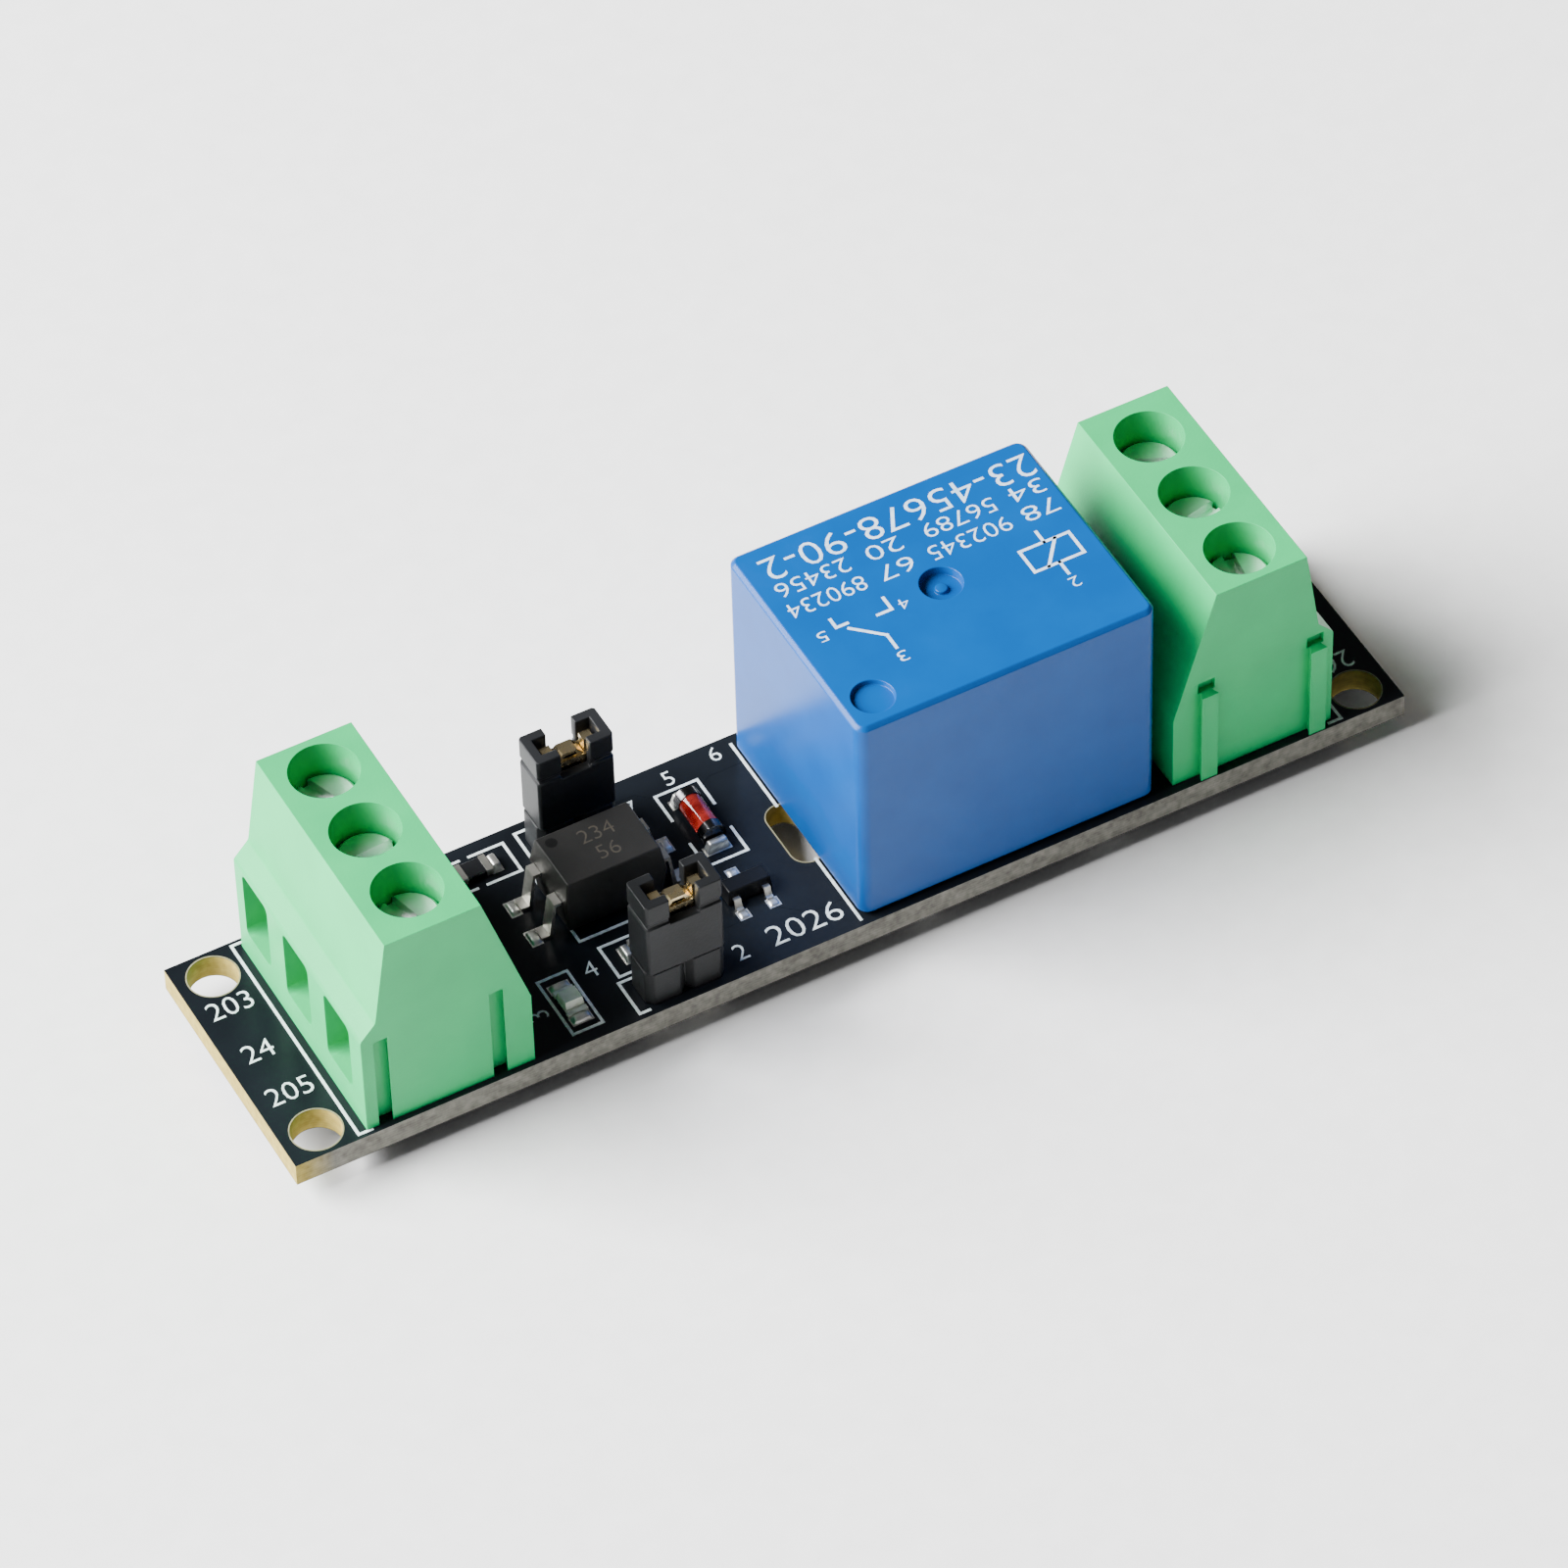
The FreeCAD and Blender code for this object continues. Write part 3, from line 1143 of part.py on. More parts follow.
def make_gull_lead(label, x, y, turn, sizes):
    """One gull-wing lead: out of the body, down, and a foot on the board."""
    reach, foot, level, thick, width = sizes
    body = new_body(label)
    knee = f"({reach} - {foot})"
    bent = sketch_on(body, "XZ_Plane", f"{label}_bent")
    outline(bent, [
        ("0", f"{level} - {thick}"),
        ("0", level),
        (f"{knee} - {thick} / 2", level),
        (f"{knee} + {thick}", thick),
        (reach, thick),
        (reach, "0"),
        (f"{knee}", "0"),
        (f"{knee} - {thick}", f"{level} - {thick}"),
    ])
    pad(body, bent, f"{label}_strip", width, both_ways=True)
    return seat_on_board(body, x, y, turn)


def make_optocoupler():
    x, y = from_left(OPTO_LEFT), from_front("opto_front")
    split = "(opto_lead_top - lead_sheet / 2)"
    insets = ["opto_draft"] * 4
    upper = wedge(
        "opto_upper", ("opto_length", "opto_width", f"opto_top - {split}"), insets,
        (f"{x} - opto_length / 2", f"{y} - opto_width / 2", f"{BOARD_TOP} + {split}"),
    )
    lower = wedge(
        "opto_lower", ("opto_length", "opto_width", f"{split} - opto_bottom"), insets,
        (f"{x} - opto_length / 2", f"{y} - opto_width * 3 / 2", f"{BOARD_TOP} + {split}"),
        Rotation(Vector(1, 0, 0), -90),
    )
    keep(fuse("optocoupler_body", [upper, lower]), "optocoupler_body")
    lead = ("opto_lead_reach", "opto_lead_foot", "opto_lead_top", "lead_sheet", "opto_lead_width")
    leads = []
    for sign, turn in ((1, 0), (-1, 180)):
        for row in (-0.5, 0.5):
            leads.append(make_gull_lead(
                f"opto_lead_{len(leads) + 1}", f"{x} + {sign} * opto_length / 2",
                f"{y} + {row} * opto_lead_pitch", turn, lead,
            ))
    keep(group("optocoupler_leads", leads), "optocoupler_leads")


def make_transistor():
    x, y = from_left(f"({DIODE_LEFT} - transistor_shift)"), from_front("transistor_front")
    insets = ["transistor_draft"] * 4
    block = wedge(
        "transistor_block", ("transistor_length", "transistor_width", "transistor_top - transistor_bottom"),
        insets,
        (f"{x} - transistor_length / 2", f"{y} - transistor_width / 2", f"{BOARD_TOP} + transistor_bottom"),
    )
    keep(block, "transistor_body")
    lead = (
        "(transistor_lead_reach + transistor_draft)", "transistor_lead_foot", "transistor_lead_top",
        "transistor_lead_sheet", "transistor_lead_width",
    )
    half = "(transistor_width / 2 - transistor_draft)"
    leads = [
        make_gull_lead("transistor_lead_1", f"{x} - transistor_lead_pitch", f"{y} - {half}", -90, lead),
        make_gull_lead("transistor_lead_2", f"{x} + transistor_lead_pitch", f"{y} - {half}", -90, lead),
        make_gull_lead("transistor_lead_3", x, f"{y} + {half}", 90, lead),
    ]
    trimmed = [cut(f"transistor_trimmed_{index}", lead, block) for index, lead in enumerate(leads, start=1)]
    keep(group("transistor_leads", trimmed), "transistor_leads")


def make_diode():
    """Glass tube diode with a metal cap on each end, lying across the board."""
    x, y = from_left(DIODE_LEFT), from_front("diode_front")
    across = Rotation(Vector(1, 0, 0), -90)
    axis_z = f"{BOARD_TOP} + diode_cap_radius"
    glass = cylinder(
        "diode_tube", "diode_radius", "diode_length - 2 * diode_cap_length",
        (x, f"{y} - diode_length / 2 + diode_cap_length", axis_z), across,
    )
    keep(glass, "diode_glass")
    feet = {"front": f"{y} - diode_length / 2", "back": f"{y} + diode_length / 2 - diode_cap_length"}
    caps = [
        cylinder(f"diode_cap_{end}", "diode_cap_radius", "diode_cap_length", (x, foot, axis_z), across)
        for end, foot in feet.items()
    ]
    keep(group("diode_caps", caps), "diode_caps")


def resistor_middle(number):
    if number == 1:
        return from_left(f"({BLOCK_REAR} + resistor_1_space)"), from_back("resistor_1_back")
    return from_left(f"({OPTO_LEFT} + resistor_2_shift)"), from_front("resistor_2_front")


def make_resistor(number):
    x, y = resistor_middle(number)
    label = f"resistor_{number}"
    core_size = ("chip_length - 2 * chip_skin", "chip_width - 2 * chip_skin", "chip_height - 2 * chip_skin")
    ceramic = upright_box(f"{label}_chip", core_size, (x, y, f"{BOARD_TOP} + chip_skin"))
    keep(ceramic, f"{label}_body")
    ends = []
    for sign in (-1, 1):
        spot = f"{x} + {sign} * (chip_length - chip_end) / 2"
        side = "left" if sign < 0 else "right"
        size = ("chip_end", "chip_width", "chip_height")
        outside = upright_box(f"{label}_{side}_block", size, (spot, y, BOARD_TOP))
        ends.append(cut(f"{label}_{side}_end", outside, ceramic))
    keep(group(f"{label}_ends", ends), f"{label}_ends")


def make_lamp():
    """Surface indicator lamp, lying across the board: base, lens and two metal ends."""
    x, y = from_left(f"({BLOCK_REAR} + lamp_space)"), from_front("lamp_front")
    plate_size = ("chip_width - 2 * chip_skin", "chip_length - 2 * chip_skin", "lamp_base - 2 * chip_skin")
    plate = upright_box("lamp_plate", plate_size, (x, y, f"{BOARD_TOP} + chip_skin"))
    keep(plate, "lamp_base_plate")
    lens_length = "(chip_length - 2 * lamp_end - 2 * lamp_lens_gap)"
    lens = wedge(
        "lamp_dome", ("chip_width - 2 * chip_skin", lens_length, "lamp_lens_height"),
        ["lamp_side_draft", "lamp_side_draft", "lamp_lens_draft", "lamp_lens_draft"],
        (f"{x} - chip_width / 2 + chip_skin", f"{y} - {lens_length} / 2",
         f"{BOARD_TOP} + lamp_base - chip_skin"),
    )
    keep(lens, "lamp_lens")
    ends = []
    for sign in (-1, 1):
        spot = f"{y} + {sign} * (chip_length - lamp_end) / 2"
        side = "front" if sign < 0 else "back"
        size = ("chip_width", "lamp_end", "lamp_base")
        outside = upright_box(f"lamp_{side}_block", size, (x, spot, BOARD_TOP))
        ends.append(cut(f"lamp_{side}_end", outside, plate))
    keep(group("lamp_ends", ends), "lamp_ends")


# Solder

def make_solder_joints():
    """Solder cones round every tail under the board, pointing down.

    Each is eight-sided: what a square cone shares with the same one turned by an eighth.
    """
    across = ("2 * solder_radius", "2 * solder_radius", "solder_height")
    slopes = ["(solder_radius - solder_tip_radius)"] * 4
    down = Rotation(Vector(1, 0, 0), -90)
    eighth = Rotation(Vector(0, 0, 1), 45)
    cones = []
    for index, ((x, y), (length, width)) in enumerate(soldered_spots(), start=1):
        square = wedge(
            f"solder_square_{index}", across, slopes,
            (f"{x} - solder_radius", f"{y} - 3 * solder_radius", "tail_length"), down,
        )
        turned = wedge(
            f"solder_turned_{index}", across, slopes,
            (x, f"{y} - (2 + sqrt(2)) * solder_radius", "tail_length"), eighth.multiply(down),
        )
        cone = doc.addObject("Part::MultiCommon", f"solder_cone_{index}")
        cone.Shapes = [square, turned]
        size = (f"({length} + 2 * tail_gap)", f"({width} + 2 * tail_gap)", BOARD_TOP)
        opening = upright_box(f"solder_opening_{index}", size, (x, y, "0"))
        cones.append(cut(f"solder_joint_{index}", cone, opening))
    keep(group("solder_joints", cones), "solder_joints")


def make_fillet(label, x, y, width, height, turn):
    """A wedge of solder that leans on a part's end and thins out over the board."""
    body = new_body(label)
    side_view = sketch_on(body, "XZ_Plane", f"{label}_side")
    outline(side_view, [
        ("0", "0"),
        ("0", height),
        ("fillet_waist", f"({height} + fillet_thin) / 2"),
        ("fillet_run", "fillet_thin"),
        ("fillet_run", "0"),
    ])
    pad(body, side_view, f"{label}_wedge", width, both_ways=True)
    return seat_on_board(body, x, y, turn)


def make_surface_solder():
    fillets = []

    def add(x, y, width, height, turn):
        fillets.append(make_fillet(f"solder_fillet_{len(fillets) + 1}", x, y, width, height, turn))

    for number in (1, 2):
        x, y = resistor_middle(number)
        add(f"{x} + chip_length / 2", y, "chip_width", "chip_height", 0)
        add(f"{x} - chip_length / 2", y, "chip_width", "chip_height", 180)
    x, y = from_left(f"({BLOCK_REAR} + lamp_space)"), from_front("lamp_front")
    add(x, f"{y} + chip_length / 2", "chip_width", "lamp_base", 90)
    add(x, f"{y} - chip_length / 2", "chip_width", "lamp_base", -90)
    x, y = from_left(DIODE_LEFT), from_front("diode_front")
    add(x, f"{y} + diode_length / 2", "2 * diode_cap_radius", "diode_cap_radius", 90)
    add(x, f"{y} - diode_length / 2", "2 * diode_cap_radius", "diode_cap_radius", -90)
    x, y = from_left(OPTO_LEFT), from_front("opto_front")
    for sign, turn in ((1, 0), (-1, 180)):
        for row in (-0.5, 0.5):
            add(f"{x} + {sign} * (opto_length / 2 + opto_lead_reach)", f"{y} + {row} * opto_lead_pitch",
                "opto_lead_width + 2 * fillet_spread", "lead_sheet", turn)
    x, y = from_left(f"({DIODE_LEFT} - transistor_shift)"), from_front("transistor_front")
    reach = "(transistor_width / 2 + transistor_lead_reach)"
    width = "transistor_lead_width + 2 * fillet_spread"
    add(f"{x} - transistor_lead_pitch", f"{y} - {reach}", width, "transistor_lead_sheet", -90)
    add(f"{x} + transistor_lead_pitch", f"{y} - {reach}", width, "transistor_lead_sheet", -90)
    add(x, f"{y} + {reach}", width, "transistor_lead_sheet", 90)
    keep(group("surface_solder", fillets), "surface_solder")


make_board()
make_terminal_block("input", 1)
make_terminal_block("output", -1)
make_relay()
for number in (1, 2):
    make_header(number)
    make_cap(number)
    make_clip(number)
    make_resistor(number)
make_optocoupler()
make_transistor()
make_diode()
make_lamp()
make_solder_joints()
make_surface_solder()
doc.recompute()

# Nothing is written unless every object is sound
for item in doc.Objects:
    if "Invalid" in item.State or "Error" in item.State:
        raise RuntimeError(f"{item.Label} failed: {item.State}")
for label, item in NODES.items():
    if item.Shape.isNull() or not item.Shape.isValid() or not item.Shape.Solids:
        raise RuntimeError(f"{label} has no sound solid")

os.makedirs("parts", exist_ok=True)
for label, item in NODES.items():
    item.Shape.exportStep(f"parts/{label}.step")
    print(f"{label}: {len(item.Shape.Solids)} solid(s), {item.Shape.Volume:.2f} cubic mm")
print(f"{len(NODES)} sub-parts")
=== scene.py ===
# %% [markdown]
# # A relay module board
#
# The object is a narrow electronic board: a black sheet of glass-epoxy that carries a blue
# relay in its middle, a green screw terminal block at each end, and two jumpers and a few
# small surface parts between them. The shapes come from the measured frame. This lesson
# gives them their finishes, and adds the thin things that a maker prints, plates or
# solders on last.

import math

import bmesh
import bpy
from mathutils import Matrix, Vector


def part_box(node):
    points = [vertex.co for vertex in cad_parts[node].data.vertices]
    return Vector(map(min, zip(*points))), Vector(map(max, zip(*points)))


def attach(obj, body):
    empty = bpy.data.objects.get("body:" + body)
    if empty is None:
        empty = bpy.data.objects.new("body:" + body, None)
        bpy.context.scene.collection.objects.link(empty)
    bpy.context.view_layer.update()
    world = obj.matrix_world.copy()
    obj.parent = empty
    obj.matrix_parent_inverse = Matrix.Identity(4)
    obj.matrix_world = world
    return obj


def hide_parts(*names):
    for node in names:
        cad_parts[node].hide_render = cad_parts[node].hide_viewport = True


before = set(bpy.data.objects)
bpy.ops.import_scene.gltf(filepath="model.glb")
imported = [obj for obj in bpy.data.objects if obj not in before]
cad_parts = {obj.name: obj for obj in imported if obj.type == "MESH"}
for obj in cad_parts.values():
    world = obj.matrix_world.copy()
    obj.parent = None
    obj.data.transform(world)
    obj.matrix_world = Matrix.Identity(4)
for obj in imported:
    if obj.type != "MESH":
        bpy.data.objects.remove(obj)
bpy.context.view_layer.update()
print("nodes in the frame:", len(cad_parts))

# %% [markdown]
# ## Units and colours
#
# The frame is in metres and the board is drawn in millimetres, so one small factor turns
# one into the other. Colours are written as the hex values that a painter would pick from
# a screen. A shader wants linear light, so one function does that step and nothing else
# has to think about it.

# %% Millimetres and hex colours
MM = 0.001


def mm(x, y, z=0.0):
    """A place in millimetres, as a vector in metres."""
    return Vector((x, y, z)) * MM


def linear(hex_colour):
    """An sRGB hex colour as linear red, green, blue and a full alpha."""
    channels = [int(hex_colour[i:i + 2], 16) / 255 for i in (1, 3, 5)]
    # The sRGB curve is a straight line near black and a power of 2.4 above it
    light = [c / 12.92 if c <= 0.04045 else ((c + 0.055) / 1.055) ** 2.4 for c in channels]
    return (*light, 1.0)


def corner_mm(node):
    """The lowest and highest corners of a node, in millimetres."""
    low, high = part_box(node)
    return Vector(low) / MM, Vector(high) / MM


board_low, board_high = corner_mm("circuit_board")
BOARD_TOP = board_high.z
BOARD_UNDER = board_low.z
print("board:", [round(v, 2) for v in (board_high - board_low)])

# %% [markdown]
# ## The camera
#
# The photograph was taken with a long lens from the front left, nearly 48 degrees above
# the table. A long lens keeps the board's edges almost parallel, so the lens length
# matters as much as the direction. The camera is set first, because every finish is
# judged through it.

# %% Camera at the photograph's angle
EYE = mm(-163.291, -316.015, 398.126)
RIGHT = Vector((0.87773, -0.47868, -0.02117))
FORWARD = Vector((0.30836, 0.59814, -0.73969))
LENS_MM, SENSOR_MM = 213.3, 36.0
# The camera sees between these distances, in metres
NEAREST, FURTHEST = 0.05, 5.0


def put_in_scene(name, data):
    """An object that shows this data in the scene."""
    thing = bpy.data.objects.new(name, data)
    bpy.context.scene.collection.objects.link(thing)
    return thing


camera_data = bpy.data.cameras.new("product_camera")
camera_data.sensor_width = SENSOR_MM
camera_data.lens = LENS_MM
camera_data.clip_start = NEAREST
camera_data.clip_end = FURTHEST
camera = put_in_scene("product_camera", camera_data)
up = RIGHT.cross(FORWARD).normalized()
turned = Matrix((RIGHT, up, -FORWARD)).transposed().to_4x4()
camera.matrix_world = Matrix.Translation(EYE) @ turned
bpy.context.scene.camera = camera
print("camera height:", round(EYE.z / MM), "mm")

# %% [markdown]
# ## A place to start each finish
#
# A finish is a small network of nodes. One helper opens a new finish with the standard
# surface shader and the object's own coordinates, and one adds any node with its settings
# and what feeds it. Patterns are sized in real millimetres: a noise node draws blobs about
# one unit across at a scale of one, so a blob of a given size needs a scale of 1000
# divided by that size.

# %% Helpers for the finishes
finishes_made = []


def add(tree, kind, feeds=None, stops=(), **settings):
    """Adds a node: its settings, what feeds each input, and a colour ramp's stops."""
    node = tree.nodes.new(kind)
    for key, value in settings.items():
        setattr(node, key, value)
    for name, value in (feeds or {}).items():
        socket = node.inputs[name]
        if isinstance(value, bpy.types.NodeSocket):
            tree.links.new(value, socket)
        else:
            socket.default_value = value
    for order, (position, colour) in enumerate(stops):
        node.color_ramp.elements[order].position = position
        node.color_ramp.elements[order].color = linear(colour)
    return node


def open_finish(name, **constants):
    """A new material: its tree, its surface shader and the object's own coordinates."""
    material = bpy.data.materials.new(name)
    material.use_nodes = True
    tree = material.node_tree
    tree.nodes.clear()
    shader = add(tree, "ShaderNodeBsdfPrincipled")
    for key, value in constants.items():
        shader.inputs[key.replace("_", " ")].default_value = value
    add(tree, "ShaderNodeOutputMaterial", {"Surface": shader.outputs["BSDF"]})
    place = add(tree, "ShaderNodeTexCoord").outputs["Object"]
    finishes_made.append(name)
    return material, tree, shader, place


def per_mm(size):
    """The pattern scale that draws features of this many millimetres."""
    return 1 / (size * MM)


print("helpers ready, 1 mm pattern scale:", per_mm(1.0))

# %% [markdown]
# ## Two habits of every surface
#
# Hardly any real surface has one flat colour or one flat skin. Its colour wanders between
# two near tones, and its skin has fine bumps, from the mould, the rolling mill or the
# lacquer. A noise texture can do both: through a colour ramp it gives the tones, and
# through a bump node the skin. Most finishes below use both helpers, each with its own
# sizes in millimetres.

# %% Tones and bumps
# A noise's values crowd round one half, so the tones are spread over this middle part
SPREAD = (0.35, 0.65)
WIDE_SPREAD = (0.3, 0.7)


def two_tones(tree, shader, place, blob, dark, light, spread=SPREAD, detail=3.0):
    """Lets the colour wander between two tones, in blobs of this many millimetres."""
    blobs = add(tree, "ShaderNodeTexNoise", {
        "Vector": place, "Scale": per_mm(blob), "Detail": detail,
    })
    tint = add(tree, "ShaderNodeValToRGB", {"Fac": blobs.outputs["Fac"]},
               stops=zip(spread, (dark, light)))
    tree.links.new(tint.outputs["Color"], shader.inputs["Base Color"])
    return blobs.outputs["Fac"]


def fine_bumps(tree, shader, place, size, depth, strength):
    """Gives the skin bumps of this size and this depth, both in millimetres."""
    grains = add(tree, "ShaderNodeTexNoise", {
        "Vector": place, "Scale": per_mm(size), "Detail": 2.0,
    })
    relief = add(tree, "ShaderNodeBump", {
        "Height": grains.outputs["Fac"], "Strength": strength, "Distance": depth * MM,
    })
    tree.links.new(relief.outputs["Normal"], shader.inputs["Normal"])


print("tones are spread over", SPREAD, "or", WIDE_SPREAD)

# %% [markdown]
# ## Moulded plastics
#
# The terminal blocks are polyamide, the relay's cover and the black bodies are moulded
# too. What the eye reads as plastic is a soft, even colour with a little cloudiness, a
# sheen that is neither sharp nor dull, and the very fine grain that the spark-eroded
# mould leaves. All of them are the same idea with other numbers, so one function makes
# them: a low noise tints the colour and a fine noise gives the grain.

# %% Moulded plastics
# The size of the clouds in a plastic's colour, in millimetres
CLOUD = 4.0


def moulded_plastic(name, light, dark, roughness, grain=0.16, depth=0.02, **constants):
    """A moulded plastic between two near colours, with the mould's grain in its skin."""
    material, tree, shader, place = open_finish(name, Roughness=roughness, **constants)
    two_tones(tree, shader, place, CLOUD, dark, light)
    fine_bumps(tree, shader, place, grain, depth, strength=0.35)
    return material


# Polyamide: mint green, a little milky, matt from the mould
green_polyamide = moulded_plastic(
    "moulded_polyamide_mint", "#02aa60", "#02a15b", roughness=0.42,
    Specular_IOR_Level=0.25)
# Relay cover: glossy polyester, a strong blue, from a polished mould
blue_polyester = moulded_plastic(
    "moulded_polyester_blue", "#02468a", "#024284", roughness=0.26,
    grain=0.3, depth=0.006, Specular_IOR_Level=0.16)
# Black moulding compound round the chip: fine matt, slightly grey
black_epoxy = moulded_plastic(
    "moulded_epoxy_black", "#222120", "#1b1b1a", roughness=0.5,
    grain=0.12, Specular_IOR_Level=0.2)
# The transistor's compound is blacker than the chip's, and glossier
dark_epoxy = moulded_plastic(
    "moulded_epoxy_deep_black", "#0f1012", "#0a0b0d", roughness=0.35,
    grain=0.12, Specular_IOR_Level=0.2)
# Jumper caps and pin strips: charcoal polyester with glass in it
charcoal_polyester = moulded_plastic(
    "moulded_polyester_charcoal", "#1d1e20", "#161718", roughness=0.4,
    Specular_IOR_Level=0.18)
# Relay's base plate, under the cover: plain black and dull
base_polyester = moulded_plastic(
    "moulded_polyester_black", "#19191b", "#131315", roughness=0.5, IOR=1.57)
# Coil bobbin and the lamp's small carrier: natural white, with a soft sheen
natural_polyamide = moulded_plastic(
    "moulded_polyamide_white", "#eceade", "#e2dfd0", roughness=0.45, IOR=1.53)
print("finishes so far:", len(finishes_made))

# %% [markdown]
# ## Metals
#
# Bright small parts are plated: zinc on the clamps and their screws, tin on the leads and
# contact strips, nickel on the relay's iron, gold flash on the jumper clips, and plain
# solder on the joints. The diode's two caps are tinned as well, and their colour is made
# dark as a painted reflection of the dark things round them. A plated metal has one colour
# for its reflection, a roughness that wanders a little from handling, and shallow waves
# from rolling or turning. The metal keeps the shader's default refraction.


# %% Metals
def plated_metal(name, light, dark, smooth, rough, patch=0.8, ripple=0.25, depth=0.01):
    """A plated metal whose tint and polish wander over patches of this many millimetres."""
    material, tree, shader, place = open_finish(name, Metallic=1.0)
    patches = two_tones(tree, shader, place, patch, dark, light, WIDE_SPREAD)
    polish = add(tree, "ShaderNodeMapRange", {
        "Value": patches, "From Min": WIDE_SPREAD[0], "From Max": WIDE_SPREAD[1],
        "To Min": rough, "To Max": smooth,
    })
    tree.links.new(polish.outputs["Result"], shader.inputs["Roughness"])
    fine_bumps(tree, shader, place, ripple, depth, strength=0.5)
    return material


# Zinc on turned steel: bright, faintly warm and cool in patches
zinc_plate = plated_metal(
    "zinc_plated_steel", "#f7f8f7", "#e3e6e5", smooth=0.28, rough=0.42,
    patch=2.5, ripple=0.8, depth=0.012)
# Tin on rolled brass: softer and warmer than zinc
tin_plate = plated_metal(
    "tin_plated_brass", "#dedcd4", "#c2c0b8", smooth=0.3, rough=0.46)
# Nickel on soft iron, for the relay's frame: a little yellow, smoother than tin
nickel_plate = plated_metal(
    "nickel_plated_iron", "#cfccc4", "#b8b4aa", smooth=0.25, rough=0.4, patch=2.0)
# Gold flash on the jumper's spring clip and pins: pale, because it is so thin
gold_plate = plated_metal(
    "gold_flash_on_brass", "#ecdcb4", "#cdb684", smooth=0.2, rough=0.34)
# Tin on the diode's end caps: its colour is darkened as a painted reflection of the dark
# things round the caps
tin_with_painted_dark_reflection = plated_metal(
    "tin_darkened_as_painted_reflection", "#5c5c5e", "#363638", smooth=0.14, rough=0.24, patch=0.4)
# Solder: smooth, bright and slightly uneven where it froze
solder_metal = plated_metal(
    "tin_solder", "#e2e2dd", "#c2c2bd", smooth=0.34, rough=0.52,
    patch=0.5, ripple=0.5, depth=0.03)
# The relay's leaf: a copper alloy spring, rolled smooth
spring_bronze = plated_metal(
    "rolled_spring_bronze", "#cf9a68", "#b98252", smooth=0.25, rough=0.4)
print("finishes so far:", len(finishes_made))

# %% [markdown]
# ## Wound copper
#
# The relay's coil is enamelled copper wire, wound in turns about a tenth of a millimetre
# apart. Thousands of real turns would weigh the file down for something that the cover
# hides, so a wave pattern along the coil's axis draws them as relief, and as colour that
# paints shade in the grooves between turns. The wave's period is made 0.3 mm, wide
# enough to show.

# %% Wound copper
# From one turn to the next, and how deep the groove between them is, in millimetres
WIRE_PITCH = 0.3
WIRE_DEPTH = 0.05
# A wave node draws this many radians per unit, and one turn of the wire takes 2 pi of them
WAVE_RADIANS = 20

copper_winding, tree, shader, place = open_finish(
    "enamelled_copper_wire", Metallic=0.9, Roughness=0.3)
turns = add(tree, "ShaderNodeTexWave", {
    "Vector": place, "Scale": per_mm(WIRE_PITCH) * 2 * math.pi / WAVE_RADIANS,
    "Distortion": 0.6, "Detail": 1.0,
}, bands_direction="Z")
# The dark stop is painted shade in the grooves between turns, the light one the copper of
# the turns
wire = add(tree, "ShaderNodeValToRGB", {"Fac": turns.outputs["Fac"]},
           stops=((0.1, "#7d3a1c"), (0.6, "#c9713c")))
tree.links.new(wire.outputs["Color"], shader.inputs["Base Color"])
relief = add(tree, "ShaderNodeBump", {
    "Height": turns.outputs["Fac"], "Strength": 0.6, "Distance": WIRE_DEPTH * MM,
})
tree.links.new(relief.outputs["Normal"], shader.inputs["Normal"])
print("winding finish:", copper_winding.name)

# %% [markdown]
# ## The board's skin and its sawn edge
#
# The board is a sandwich of glass cloth and resin, 1.6 mm thick. Both faces are coated
# with black solder mask, which is a smooth, half-gloss lacquer with a cold blue cast. Its
# edges were cut last, so there the bare laminate shows, mottled by torn glass ends, with
# the cloth's layers as faint lines. Along the two long sides the cut is grey, and at the
# board's ends and inside its holes it is a dull yellow. The place on the board tells the
# finish which of these it is on, so one material serves the whole piece.

# %% The lacquered faces
MASK_ROUGHNESS, CUT_ROUGHNESS = 0.24, 0.75
# The size of the clouds in the lacquer, in millimetres
MASK_CLOUD = 6.0
# The inputs of a colour mix share their names, so they are reached by their order
FACTOR, FIRST, SECOND, MIXED = 0, 6, 7, 2

mask_on_laminate, tree, shader, place = open_finish(
    "solder_mask_on_glass_epoxy", Specular_IOR_Level=0.16)
axes = add(tree, "ShaderNodeSeparateXYZ", {"Vector": place})
clouds = add(tree, "ShaderNodeTexNoise", {
    "Vector": place, "Scale": per_mm(MASK_CLOUD), "Detail": 4.0,
})
mask_tint = add(tree, "ShaderNodeValToRGB", {"Fac": clouds.outputs["Fac"]},
                stops=zip(WIDE_SPREAD, ("#0e1115", "#15191e")))
fine_bumps(tree, shader, place, size=0.3, depth=0.02, strength=0.25)
print("board finish:", mask_on_laminate.name)

# %% The cut edge's two colours
# Millimetres from one layer of cloth to the next, and how much the layers show
LAYER = 0.2
LAYER_SHARE = 0.04
# The size of the torn glass ends in millimetres, and the part of their noise that is used
TORN_GLASS = 0.45
MOTTLE_LOW, MOTTLE_HIGH = 0.2, 0.8

